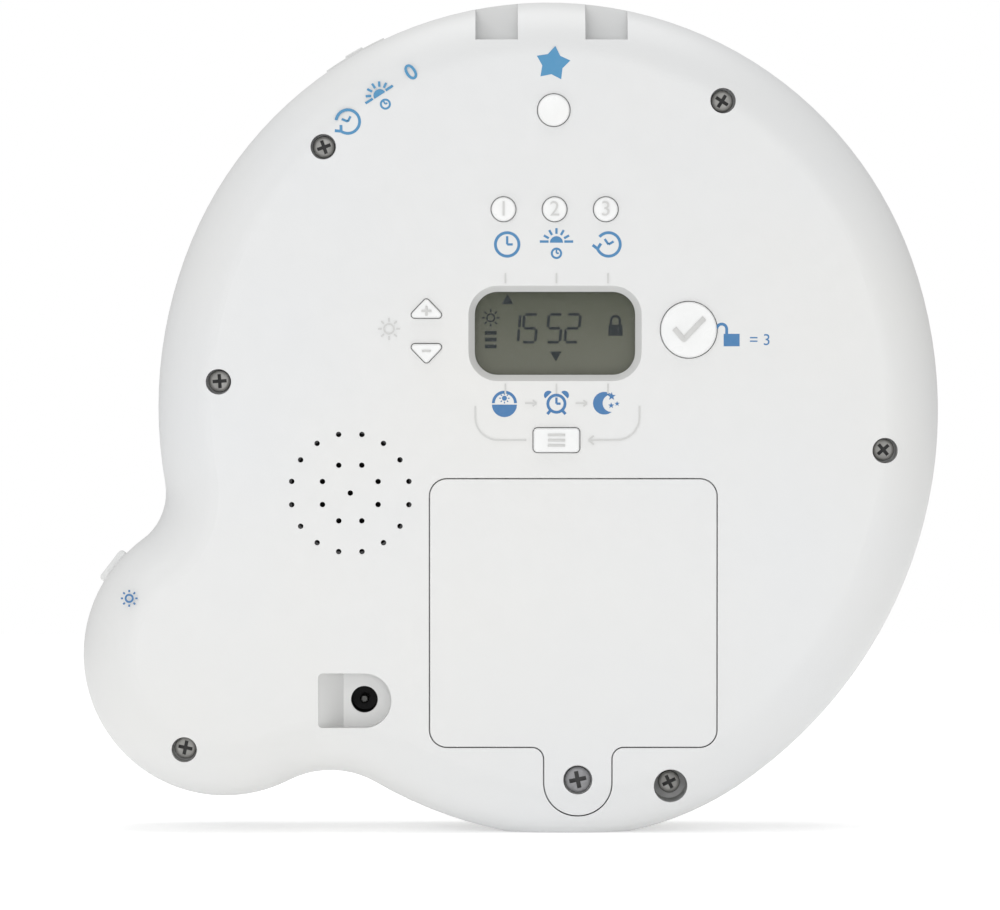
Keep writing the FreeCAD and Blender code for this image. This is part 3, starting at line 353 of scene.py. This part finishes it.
raised("minus_mark", [bar(x, z + SIGN_SHIFT, MINUS_L, SIGN_BAR_W, mark_t, mark_face)], "minus_button")

# Printed marks. Small pictograms are pad-printed on the case in blue ink, painted lighter
# towards the top and darker below as painted light and shade: an alarm setting, a nap clock, a sunrise, day
# and night.
INK = 0.03 * MM
INK_LIT_TOP = (0.050, 0.235, 0.43, 1)
INK_SHADED_LOW = (0.030, 0.145, 0.34, 1)
blue_ink = finish(
    "blue ink",
    # Painted light and shade: the ink is lighter towards the top and darker towards the bottom.
    lambda p: (p.height() * 14.0 - 1.35).blend(INK_SHADED_LOW, INK_LIT_TOP),
    lambda p: p.noise(900.0) * 0.2 + 0.35)


def ring(x, z, radius, width, thickness, face_y):
    """Flat ring: a disc whose two faces are inset, opened and bridged."""
    piece = disc(x, z, radius, thickness, face_y)
    bpy.ops.object.mode_set(mode="EDIT")
    bpy.ops.mesh.select_mode(type="FACE")
    bpy.ops.mesh.select_all(action="DESELECT")
    bpy.ops.object.mode_set(mode="OBJECT")
    for face in piece.data.polygons:
        face.select = abs(face.normal.y) > 0.9
    bpy.ops.object.mode_set(mode="EDIT")
    bpy.ops.mesh.inset(thickness=width, depth=0)
    bpy.ops.mesh.delete(type="FACE")
    bpy.ops.mesh.select_mode(type="EDGE")
    bpy.ops.mesh.select_all(action="DESELECT")
    bpy.ops.mesh.select_non_manifold(extend=False, use_wire=False, use_multi_face=False,
                                     use_non_contiguous=False, use_verts=False)
    bpy.ops.mesh.bridge_edge_loops()
    bpy.ops.mesh.select_all(action="SELECT")
    bpy.ops.mesh.normals_make_consistent(inside=False)
    bpy.ops.object.mode_set(mode="OBJECT")
    return piece


def arc(x, z, radius, width, thickness, face_y, start, finish_at):
    """Flat bent strip spun from one end face; angles are in degrees from the right, anticlockwise."""
    steps = max(4, int(abs(finish_at - start) / 10))
    turn = math.radians(start)
    spot = (x + radius * math.cos(turn), face_y - thickness / 2, z + radius * math.sin(turn))
    bpy.ops.object.select_all(action="DESELECT")
    bpy.ops.mesh.primitive_plane_add(size=1, location=spot, rotation=(0, -turn, 0))
    piece = bpy.context.object
    piece.scale = (width, thickness, 1)
    place_mesh(piece)
    bpy.ops.object.mode_set(mode="EDIT")
    bpy.ops.mesh.select_all(action="SELECT")
    bpy.ops.mesh.spin(steps=steps, angle=math.radians(finish_at - start), center=(x, 0, z), axis=(0, 1, 0))
    bpy.ops.mesh.select_all(action="SELECT")
    bpy.ops.mesh.remove_doubles(threshold=1e-7)
    bpy.ops.mesh.normals_make_consistent(inside=False)
    bpy.ops.object.mode_set(mode="OBJECT")
    return piece


def polygon(points, thickness, face_y):
    """Flat prism over a few corners, made from a circle whose corners are moved to them."""
    bpy.ops.object.select_all(action="DESELECT")
    bpy.ops.mesh.primitive_circle_add(vertices=len(points), radius=1, fill_type="NGON")
    piece = bpy.context.object
    for vertex, (x, z) in zip(piece.data.vertices, points):
        vertex.co = (x, face_y, z)
    bpy.ops.object.mode_set(mode="EDIT")
    bpy.ops.mesh.select_all(action="SELECT")
    bpy.ops.mesh.extrude_region_move(TRANSFORM_OT_translate={"value": (0, -thickness, 0)})
    bpy.ops.mesh.select_all(action="SELECT")
    bpy.ops.mesh.normals_make_consistent(inside=False)
    bpy.ops.object.mode_set(mode="OBJECT")
    return piece


def turned(point, centre, degrees):
    """Where a point lands when it turns about a centre, anticlockwise as seen from behind."""
    cosine, sine = math.cos(math.radians(degrees)), math.sin(math.radians(degrees))
    dx, dz = point[0] - centre[0], point[1] - centre[1]
    return (centre[0] + dx * cosine - dz * sine, centre[1] + dx * sine + dz * cosine)


def sun_rays(x, z, near, far, width, count, thickness, face_y, first=0.0, span=360.0):
    """Short bars set round a point, from one reach to another."""
    rays = []
    for i in range(count):
        angle = first + span * i / (count if span == 360.0 else count - 1)
        spot = turned((x + (near + far) / 2, z), (x, z), angle)
        rays.append(bar(*spot, far - near, width, thickness, face_y, angle))
    return rays


def clock_mark(x, z, radius, line, thickness, face_y, tilt=0.0):
    """Open ring with two hands."""
    parts = [ring(x, z, radius, line, thickness, face_y)]
    for length, angle, layer in ((radius * 0.62, 90.0, 0.97), (radius * 0.42, 0.0, 1)):
        spot = turned((x + length / 2, z), (x, z), angle + tilt)
        parts.append(bar(*spot, length, line * 0.8, thickness * layer, face_y, angle + tilt))
    return parts


def nap_mark(x, z, radius, line, thickness, face_y, tilt=0.0):
    """Clock whose ring is open and ends in an arrow head, for a short sleep."""
    parts = [arc(x, z, radius - line / 2, line, thickness, face_y, tilt - 160, tilt + 140)]
    tip = turned((x - radius + line / 2, z), (x, z), tilt + 22)
    for side in (-1, 1):
        barb = tilt + 100 + side * 42
        end = turned((tip[0] + 0.45 * radius, tip[1]), tip, barb)
        mid = ((tip[0] + end[0]) / 2, (tip[1] + end[1]) / 2)
        parts.append(bar(*mid, 0.5 * radius, line, thickness * (0.97 + 0.01 * side), face_y, barb))
    for length, angle in ((radius * 0.5, 125.0), (radius * 0.45, 30.0)):
        spot = turned((x + length / 2, z), (x, z), angle + tilt)
        parts.append(bar(*spot, length, line * 0.8, thickness * 0.96, face_y, angle + tilt))
    return parts


def half_disc(x, z, radius, thickness, face_y, tilt=0.0, steps=12):
    points = []
    for i in range(steps + 1):
        angle = math.pi * i / steps
        points.append(turned((x + radius * math.cos(angle), z + radius * math.sin(angle)), (x, z), tilt))
    return polygon(points, thickness, face_y)


def sunrise_mark(x, z, radius, line, thickness, face_y, tilt=0.0):
    """Half sun with rays over its horizon, and a small clock below."""
    core = radius * 0.46
    lift = turned((x, z + radius * 0.12), (x, z), tilt)
    parts = [half_disc(*lift, core, thickness, face_y, tilt)]
    parts += sun_rays(*lift, core * 1.35, radius * 1.02, line * 0.8, 5, thickness, face_y, tilt + 30, 120)
    for side in (-1, 1):
        spot = turned((lift[0] + side * radius * 0.86, lift[1] + line * 0.4), lift, tilt)
        parts.append(bar(*spot, radius * 0.62, line * 0.85, thickness * 0.97, face_y, tilt))
    low = turned((x, z - radius * 0.62), (x, z), tilt)
    return parts + clock_mark(*low, radius * 0.40, line * 0.72, thickness, face_y, tilt)


def star_points(x, z, outer, inner, tilt=90.0):
    """Corners of a five-pointed star."""
    spots = []
    for i in range(10):
        reach = outer if i % 2 == 0 else inner
        angle = math.radians(tilt + 36 * i)
        spots.append((x + reach * math.cos(angle), z + reach * math.sin(angle)))
    return spots


def moon_points(x, z, radius, steps=16):
    """Crescent open to the right: outer round, then back along a smaller inner round."""
    outer = [turned((x + radius, z), (x, z), 50 + 260 * i / steps) for i in range(steps + 1)]
    centre = (x + radius * 0.62, z)
    reach = math.hypot(outer[0][0] - centre[0], outer[0][1] - centre[1])
    lead = math.degrees(math.atan2(outer[-1][1] - centre[1], outer[-1][0] - centre[0])) % 360
    end = math.degrees(math.atan2(outer[0][1] - centre[1], outer[0][0] - centre[0])) % 360
    inner = [turned((centre[0] + reach, centre[1]), centre, lead + (end - lead) * i / steps)
             for i in range(1, steps)]
    return outer + inner


back_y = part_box("battery_door")[0][1]
print_y = back_y + 0.005 * MM
SIGN_LINE = 0.64 * MM
SIGN_R = 2.9 * MM


def printed(name, parts):
    return unite(name, parts, "case", blue_ink)


number_x = [middle(f"button_{n}")[0] for n in (1, 2, 3)]
ROW_Z = 129.5 * MM
printed("time_print", clock_mark(number_x[0] + 0.8 * MM, ROW_Z, SIGN_R, SIGN_LINE, INK, print_y))
printed("wake_print", sunrise_mark(number_x[1] + 0.4 * MM, ROW_Z, SIGN_R * 1.08, SIGN_LINE, INK, print_y))
printed("nap_print", nap_mark(number_x[2] + 0.6 * MM, ROW_Z, SIGN_R, SIGN_LINE, INK, print_y))

RIM_TILT = 33.0
RIM_NAP = (-35.7 * MM, 156.4 * MM)
RIM_WAKE = (-28.5 * MM, 161.8 * MM)
RIM_ZERO = (-21.8 * MM, 167.1 * MM)
ZERO_H = 3.6 * MM
ZERO_WEIGHT = 0.06 * MM
printed("rim_nap_print", nap_mark(*RIM_NAP, SIGN_R, SIGN_LINE, INK, print_y, RIM_TILT))
printed("rim_wake_print", sunrise_mark(*RIM_WAKE, SIGN_R * 1.05, SIGN_LINE, INK, print_y, RIM_TILT))
printed("rim_zero_print", [letters("0", *RIM_ZERO, ZERO_H, INK, print_y, RIM_TILT, ZERO_WEIGHT)])

STAR = (9.2 * MM, 169.1 * MM)
STAR_OUTER = 3.9 * MM
STAR_INNER = 2.35 * MM
STAR_TILT = 82.0
printed("star_print", [polygon(star_points(*STAR, STAR_OUTER, STAR_INNER, STAR_TILT), INK, print_y)])

LOW_Z = 94.7 * MM
DAY_X, BELL_X, NIGHT_X = -1.4 * MM, 10.0 * MM, 20.8 * MM
DISC_R = 2.75 * MM
DAY_SUN_Z = LOW_Z + 1.1 * MM
night_half = half_disc(DAY_X, LOW_Z - 0.3 * MM, DISC_R, INK, print_y, 180.0)
day_rim = arc(DAY_X, LOW_Z, DISC_R - SIGN_LINE / 2, SIGN_LINE, INK, print_y, 0, 180)
day_sun = [disc(DAY_X, DAY_SUN_Z, 0.55 * MM, INK, print_y)]
day_sun += sun_rays(DAY_X, DAY_SUN_Z, 0.75 * MM, 1.15 * MM, 0.22 * MM, 8, INK, print_y)
printed("day_night_print", [night_half, day_rim] + day_sun)

BELL_R = 1.0 * MM
BELL_OUT = 1.75 * MM
FOOT_L = 0.9 * MM
bells = [half_disc(BELL_X + side * BELL_OUT, LOW_Z + BELL_OUT, BELL_R, INK * 0.94, print_y, -side * 45)
         for side in (-1, 1)]
feet = [bar(BELL_X + side * 1.7 * MM, LOW_Z - 2.05 * MM, FOOT_L, SIGN_LINE, INK * 0.96, print_y, -side * 50)
        for side in (-1, 1)]
alarm_face = clock_mark(BELL_X, LOW_Z - 0.1 * MM, 2.2 * MM, SIGN_LINE, INK, print_y)
printed("alarm_print", alarm_face + bells + feet)

MOON_R = 2.5 * MM
small_stars = [polygon(star_points(NIGHT_X + dx * MM, LOW_Z + dz * MM, r * MM, r * 0.42 * MM), INK, print_y)
               for dx, dz, r in ((1.3, 1.5, 0.95), (1.2, -0.5, 0.7), (2.5, -0.1, 0.6))]
crescent = polygon(moon_points(NIGHT_X - 0.3 * MM, LOW_Z, MOON_R), INK, print_y)
printed("night_print", [crescent] + small_stars)


def padlock(x, z, width, thickness, face_y, lift=0.0):
    """Lock body with its bow."""
    body = bar(x, z - width * 0.3, width, width * 0.78, thickness, face_y)
    side, foot = x - lift * width * 0.62, z + width * 0.09
    rise = width * 0.3
    parts = [body, arc(side, foot + rise, width * 0.31, width * 0.18, thickness * 0.98, face_y, 0, 180)]
    legs = (1,) if lift else (-1, 1)
    for leg in legs:
        parts.append(bar(side + leg * width * 0.31, foot + rise / 2, width * 0.18, rise,
                         thickness * 0.96, face_y))
    return parts


LOCK_X, LOCK_Z = 48.4 * MM, 109.6 * MM
LOCK_W = 3.5 * MM
THREE_H = 2.5 * MM
LOBE_SUN = (-83.7 * MM, 51.9 * MM)
LOBE_SUN_R = 1.0 * MM
LOBE_SUN_LINE = 0.42 * MM
printed("lock_print", padlock(LOCK_X, LOCK_Z, LOCK_W, INK, print_y, 1.0))
printed("seconds_print", [letters("= 3", LOCK_X + 6.2 * MM, LOCK_Z - 1.1 * MM, THREE_H, INK, print_y)])
printed("lobe_sun_print", [ring(*LOBE_SUN, LOBE_SUN_R, LOBE_SUN_LINE, INK, print_y)]
        + sun_rays(*LOBE_SUN, 1.35 * MM, 1.85 * MM, 0.4 * MM, 8, INK, print_y))

# Raised lines. Fine ribs cut into the mould lead from the display to the signs and
# round to the mode button, and a small sun stands between plus and minus. They take
# the raised marks' darker grey, as painted shade on the relief.
RELIEF = 0.14 * MM
RELIEF_SINK = 0.03 * MM
LINE = 0.36 * MM
relief_y = back_y + RELIEF_SINK
relief_t = RELIEF + RELIEF_SINK
POINTER_X = (-1.2 * MM, 10.0 * MM, 21.3 * MM)
POINTER_Z = (122.1 * MM, 97.9 * MM)
POINTER_L = 2.2 * MM
pointers = [bar(x, z, LINE, POINTER_L, relief_t, relief_y) for x in POINTER_X for z in POINTER_Z]
unite("display_lines", pointers, "case", mark_painted_shade_plastic)

BEND = 5.0 * MM
LOOP_LEFT_X, LOOP_RIGHT_X = -7.8 * MM, 28.2 * MM
LOOP_TOP_Z = 94.1 * MM
LOOP_END_X = (3.4 * MM, 17.0 * MM)
BARB_TURN = 38
loop_z = middle("mode_button")[1]
corner_z = loop_z + BEND
loops = []
for edge_x, end_x, way, start in ((LOOP_LEFT_X, LOOP_END_X[0], 1, 180),
                                  (LOOP_RIGHT_X, LOOP_END_X[1], -1, 270)):
    corner_x = edge_x + way * BEND
    loops.append(arc(corner_x, corner_z, BEND, LINE, relief_t, relief_y, start, start + 90))
    loops.append(bar(edge_x, (corner_z + LOOP_TOP_Z) / 2, LINE, LOOP_TOP_Z - corner_z, relief_t, relief_y))
    loops.append(bar((corner_x + end_x) / 2, loop_z, abs(corner_x - end_x), LINE, relief_t, relief_y))
for side in (-1, 1):
    loops.append(bar(LOOP_RIGHT_X - 10.6 * MM, loop_z + side * 0.5 * MM, 1.5 * MM, LINE,
                     relief_t * 0.97, relief_y, side * BARB_TURN))
for arrow_x in (4.3 * MM, 15.4 * MM):
    loops.append(bar(arrow_x, LOW_Z, 2.4 * MM, LINE, relief_t, relief_y))
    for side in (-1, 1):
        loops.append(bar(arrow_x + 0.9 * MM, LOW_Z + side * 0.35 * MM, 1.0 * MM, LINE,
                         relief_t * 0.97, relief_y, -side * BARB_TURN))
unite("mode_lines", loops, "case", mark_painted_shade_plastic)

LEVEL_SUN = (-26.7 * MM, 111.0 * MM)
LEVEL_SUN_R = 1.25 * MM
unite("level_sun_relief", [ring(*LEVEL_SUN, LEVEL_SUN_R, LINE, relief_t, relief_y)]
      + sun_rays(*LEVEL_SUN, 1.6 * MM, 2.4 * MM, LINE, 8, relief_t, relief_y),
      "case", mark_painted_shade_plastic)

# Display. A clear window sits in the sloping mouth; behind it the cell shows dark
# segments on a grey-green ground, painted darker towards the top and lighter towards the bottom as painted
# shade.
GROUND_LIT_LOW = (0.135, 0.138, 0.108, 1)
GROUND_SHADED_TOP = (0.066, 0.070, 0.048, 1)
lcd_plain = finish(
    "display ground",
    # Painted shade: the ground is darker towards the top and lighter towards the bottom.
    lambda p: (p.height() * 55.0 - 5.8 + p.noise(45.0) * 0.3).blend(GROUND_LIT_LOW, GROUND_SHADED_TOP),
    lambda p: p.noise(400.0) * 0.1 + 0.4,
    settings={"Specular IOR Level": 0.0})
dress(lcd_plain, "lcd_cell")
segment_dark = finish(
    "segment black",
    lambda p: p.noise(700.0).blend((0.012, 0.016, 0.020, 1), (0.018, 0.023, 0.028, 1)),
    lambda p: p.noise(500.0) * 0.1 + 0.4,
    settings={"Specular IOR Level": 0.0})
window_clear = finish(
    "display window",
    lambda p: p.noise(30.0).blend((0.30, 0.32, 0.30, 1), (0.36, 0.37, 0.35, 1)),
    lambda p: p.noise(250.0) * 0.02 + 0.02,
    settings={"Alpha": 0.04, "Specular IOR Level": 0.1})
dress(window_clear, "lcd_window")
cell_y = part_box("lcd_cell")[0][1]
SEG_T = 0.03 * MM
SEG_W = 0.62 * MM
SEG_GAP = 0.45 * MM
SEG_TURN = 85
SEG_LEAN = 0.09
SEG_LIT = {"1": "bc", "5": "afgcd", "2": "abged"}
FIGURE_H = 6.1 * MM
FIGURE_W = 2.9 * MM
POINTER_HALF_W = 1.3 * MM
POINTER_RISE = 2.2 * MM


def figure(shown, x, z):
    """Seven-segment figure that leans a little to the right."""
    spots = {"a": (0, FIGURE_H / 2, 0), "g": (0, 0, 0), "d": (0, -FIGURE_H / 2, 0),
             "b": (FIGURE_W / 2, FIGURE_H / 4, 1), "c": (FIGURE_W / 2, -FIGURE_H / 4, 1),
             "f": (-FIGURE_W / 2, FIGURE_H / 4, 1), "e": (-FIGURE_W / 2, -FIGURE_H / 4, 1)}
    parts = []
    for name in SEG_LIT[shown]:
        dx, dz, upright = spots[name]
        length = (FIGURE_H / 2 if upright else FIGURE_W) - SEG_GAP
        parts.append(bar(x + dx + dz * SEG_LEAN, z + dz, length, SEG_W, SEG_T, cell_y,
                         SEG_TURN if upright else 0))
    return parts


def pointer(x, z, rise):
    """Small triangle on a level base, up or down."""
    return polygon([(x - POINTER_HALF_W, z), (x + POINTER_HALF_W, z), (x, z + rise)], SEG_T, cell_y)


TIME_Z = 111.1 * MM
SIDE_SUN = (-4.4 * MM, 113.4 * MM)
LEVEL_BARS = (110.1, 108.6, 107.1)
figures = []
for shown, x in (("1", 0.4 * MM), ("5", 4.2 * MM), ("5", 9.6 * MM), ("2", 13.6 * MM)):
    figures += figure(shown, x, TIME_Z)
figures.append(pointer(-0.7 * MM, 116.4 * MM, POINTER_RISE))
figures.append(pointer(9.9 * MM, 106.0 * MM, -POINTER_RISE))
figures += padlock(23.0 * MM, 111.6 * MM, 3.1 * MM, SEG_T, cell_y)
figures += [ring(*SIDE_SUN, 1.0 * MM, 0.34 * MM, SEG_T, cell_y)]
figures += sun_rays(*SIDE_SUN, 1.25 * MM, 1.95 * MM, 0.36 * MM, 8, SEG_T, cell_y)
figures += [bar(SIDE_SUN[0], z * MM, 2.6 * MM, 0.85 * MM, SEG_T, cell_y) for z in LEVEL_BARS]
unite("display_figures", figures, "case", segment_dark)

# Screws. Cross-head screws in dulled zinc hold the case; one more, kept captive in
# the door's tab, closes the battery bay.
CASE_HEAD_R = 2.4 * MM
DOOR_HEAD_R = 2.9 * MM
HEAD_H = 1.8 * MM
HEAD_EDGE = 0.55 * MM
SHANK_R = 1.45 * MM
RECESS_DEPTH = 1.3 * MM
HEAD_APART = 9 * MM
LIP = 0.35 * MM
ZINC_DULL = (0.42, 0.415, 0.40, 1)
ZINC_BRIGHT = (0.66, 0.65, 0.62, 1)


def cross_head(x, z, top_y, radius, length, turn):
    """Pan head with a cross recess on a plain shank."""
    head = disc(x, z, radius, HEAD_H, top_y + HEAD_H)
    for face in head.data.polygons:
        face.select = face.normal.y < -0.9
    for edge in head.data.edges:
        edge.select = False
    bpy.ops.object.mode_set(mode="EDIT")
    bpy.ops.mesh.select_mode(type="FACE")
    bpy.ops.mesh.bevel(offset=HEAD_EDGE, segments=3)
    bpy.ops.object.mode_set(mode="OBJECT")
    for quarter in (0, 90):
        cutter = bar(x, z, radius * 1.3, radius * 0.32, RECESS_DEPTH * 2, top_y + RECESS_DEPTH,
                     turn + quarter)
        cut = head.modifiers.new("recess", "BOOLEAN")
        cut.operation = "DIFFERENCE"
        cut.object = cutter
        bpy.ops.object.select_all(action="DESELECT")
        head.select_set(True)
        bpy.context.view_layer.objects.active = head
        bpy.ops.object.modifier_apply(modifier="recess")
        bpy.data.objects.remove(cutter)
    shank = disc(x, z, SHANK_R, length, top_y + HEAD_H + length, 20)
    return [head, shank]


def head_places(node):
    """Middle of each separate screw of a node, and how far back its head starts."""
    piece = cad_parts[node]
    places = []
    for vertex in piece.data.vertices:
        for place in places:
            if abs(place[0] - vertex.co.x) < HEAD_APART and abs(place[1] - vertex.co.z) < HEAD_APART:
                place[2] = min(place[2], vertex.co.y)
                place[3].append(vertex.co)
                break
        else:
            places.append([vertex.co.x, vertex.co.z, vertex.co.y, [vertex.co]])
    found = []
    for _, _, top, points in places:
        xs = [p.x for p in points]
        zs = [p.z for p in points]
        found.append(((min(xs) + max(xs)) / 2, (min(zs) + max(zs)) / 2, top, max(p.y for p in points)))
    return found


def head_metal(name, tops, dull, bright):
    """Zinc coloured nearly black below the lip of each head, in the cross recess and down its sides, as
    painted shade.
    """
    def sunk(p):
        return sum((p.depth() > top + LIP) - (p.depth() > top + HEAD_H) for top in tops)

    return finish(
        name,
        # Painted shade: nearly black below each head's lip, in the cross recess and round the head's sides.
        lambda p: sunk(p).blend(p.noise(700.0, 4.0).blend(dull, bright), (0.03, 0.03, 0.03, 1)),
        lambda p: p.noise(500.0, 3.0) * 0.3 + 0.32,
        lambda p: p.noise(1800.0, 3.0).bump(0.25, 0.0001), metallic=0.25)


case_heads = []
head_tops = []
for i, (x, z, top, end) in enumerate(head_places("case_screws")):
    case_heads += cross_head(x, z, top, CASE_HEAD_R, end - top - HEAD_H, 20 + 37 * i)
    if not any(abs(top - other) < LIP for other in head_tops):
        head_tops.append(top)
zinc = head_metal("dull zinc", head_tops, ZINC_DULL, ZINC_BRIGHT)
screws = unite("case_screw_set", case_heads, "case", zinc)
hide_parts("case_screws")
x, z = middle("door_screw")
low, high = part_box("door_screw")
dark_zinc = head_metal("dark zinc", [low[1]], (0.15, 0.15, 0.155, 1), (0.30, 0.30, 0.31, 1))
captive_head = cross_head(x, z, low[1], DOOR_HEAD_R, high[1] - low[1] - HEAD_H, 12)
captive = unite("door_screw_cross", captive_head, "battery_door", dark_zinc)
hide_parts("door_screw")
board_zinc = finish(
    "board screw zinc",
    lambda p: p.noise(700.0, 4.0).blend(ZINC_DULL, ZINC_BRIGHT),
    lambda p: p.noise(500.0, 3.0) * 0.3 + 0.32, metallic=0.5)
dress(board_zinc, "board_screws", "speaker_screws")

# Power inlet, switches and contacts. The socket and the switches are moulded in black,
# with a metal pin pressed into the socket; the pin is coloured nearly black, as painted shade deep in the
# bore.
# The battery springs are wound from nickelled wire, and their contacts are pressed from nickelled sheet.
socket_black = finish(
    "socket black",
    lambda p: p.noise(500.0).blend((0.006, 0.006, 0.007, 1), (0.012, 0.012, 0.013, 1)),
    lambda p: p.noise(300.0) * 0.15 + 0.4,
    settings={"Specular IOR Level": 0.2})
dress(socket_black, "dc_jack", "lcd_frame", "slide_switch", "light_switch", "tact_switches")
nickel = finish(
    "bright nickel",
    lambda p: p.noise(900.0).blend((0.62, 0.61, 0.58, 1), (0.74, 0.73, 0.70, 1)),
    lambda p: p.noise(1200.0) * 0.15 + 0.16, metallic=1.0)
dress(nickel, "battery_springs", "battery_contacts")

# Painted shade: the pin deep in the bore is coloured nearly black, though it is bright metal.
pin_painted_shade_metal = finish(
    "pin painted dark as shade",
    lambda p: p.noise(900.0).blend((0.025, 0.025, 0.025, 1), (0.045, 0.045, 0.043, 1)),
    lambda p: p.noise(1200.0) * 0.15 + 0.2, metallic=0.9)
dress(pin_painted_shade_metal, "dc_pin")

# Loudspeaker. A black paper cone is glued into a basket pressed from steel sheet, with
# a ferrite magnet behind it.
paper = finish(
    "cone paper",
    lambda p: p.noise(1200.0, 5.0).blend((0.008, 0.008, 0.008, 1), (0.02, 0.019, 0.018, 1)),
    lambda p: p.noise(900.0) * 0.1 + 0.8,
    lambda p: p.noise(2500.0, 4.0).bump(0.5, 0.0001))
dress(paper, "speaker_cone")
basket_steel = finish(
    "pressed steel",
    lambda p: p.noise(300.0).blend((0.05, 0.05, 0.052, 1), (0.09, 0.09, 0.092, 1)),
    lambda p: p.noise(400.0) * 0.2 + 0.3, metallic=0.8)
dress(basket_steel, "speaker_basket")
ferrite = finish(
    "ferrite",
    lambda p: p.noise(800.0, 4.0).blend((0.03, 0.03, 0.032, 1), (0.055, 0.055, 0.058, 1)),
    lambda p: p.noise(600.0) * 0.2 + 0.6,
    lambda p: p.noise(2000.0).bump(0.3, 0.0001))
dress(ferrite, "speaker_magnet")

# Boards and lamps. Glass-fibre boards under green lacquer; square lamps with a
# yellow phosphor face sit on the light boards.
board_green = finish(
    "board lacquer",
    lambda p: (p.noise(500.0) > 0.53).blend((0.012, 0.09, 0.035, 1), (0.02, 0.13, 0.05, 1)),
    lambda p: p.noise(300.0) * 0.1 + 0.25,
    lambda p: p.noise(600.0).bump(0.2, 0.0001))
dress(board_green, "main_board", "led_board", "lobe_led_board", "slide_switch_board", "light_switch_board")
phosphor = finish(
    "lamp phosphor",
    lambda p: p.noise(700.0).blend((0.85, 0.72, 0.30, 1), (0.9, 0.82, 0.45, 1)),
    lambda p: p.noise(500.0) * 0.1 + 0.35)
dress(phosphor, "led_lamps", "lobe_led_lamp")
dress(case_plastic, "light_tray")

# Cells. Three round cells lie side by side in the bay; each is wrapped in one plain
# grey shrink sleeve with a fine sheen.
sleeve = finish(
    "cell sleeve",
    lambda p: p.noise(90.0).blend((0.10, 0.115, 0.13, 1), (0.14, 0.15, 0.165, 1)),
    lambda p: p.noise(200.0, 3.0) * 0.15 + 0.25, metallic=0.35,
    settings={"Coat Weight": 0.4})
dress(sleeve, "battery_cell_1", "battery_cell_2", "battery_cell_3")

# Night light. The big front disc and the small one in the lobe are moulded in frosted
# white, with a thin pale film on each: a moon and stars, and a sun.
frosted = finish(
    "frosted white",
    lambda p: p.noise(20.0).blend((0.86, 0.86, 0.83, 1), (0.90, 0.90, 0.88, 1)),
    lambda p: p.noise(600.0) * 0.1 + 0.5,
    lambda p: p.noise(3000.0, 2.0).bump(0.15, 0.0001),
    settings={"Transmission Weight": 0.15})
dress(frosted, "night_light_lens", "lobe_lens")
film = finish(
    "pale film",
    lambda p: p.noise(40.0).blend((0.50, 0.66, 0.78, 1), (0.58, 0.72, 0.82, 1)),
    lambda p: p.noise(500.0) * 0.1 + 0.45)
front_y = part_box("night_light_lens")[1][1] + 0.03 * MM
FILM_T = 0.04 * MM
NIGHT_MOON_R = 30 * MM
NIGHT_STARS = ((-22, 26, 6.5), (-34, 4, 4.5), (-18, -30, 5.0),
               (30, 40, 4.0), (-42, -20, 3.5), (-2, 46, 3.5))
face_x, face_z = middle("night_light_lens")
night = [polygon(moon_points(face_x + 8 * MM, face_z - 4 * MM, NIGHT_MOON_R, 72), FILM_T, front_y)]
for dx, dz, r in NIGHT_STARS:
    corners = star_points(face_x + dx * MM, face_z + dz * MM, r * MM, r * 0.45 * MM)
    night.append(polygon(corners, FILM_T, front_y))
unite("night_sky_film", night, "case", film)
LOBE_DISC_R = 5 * MM
lobe_x, lobe_z = middle("lobe_lens")
day = [disc(lobe_x, lobe_z, LOBE_DISC_R, FILM_T, front_y)]
day += sun_rays(lobe_x, lobe_z, 7 * MM, 10.5 * MM, 1.6 * MM, 8, FILM_T, front_y)
unite("lobe_sun_film", day, "case", film)
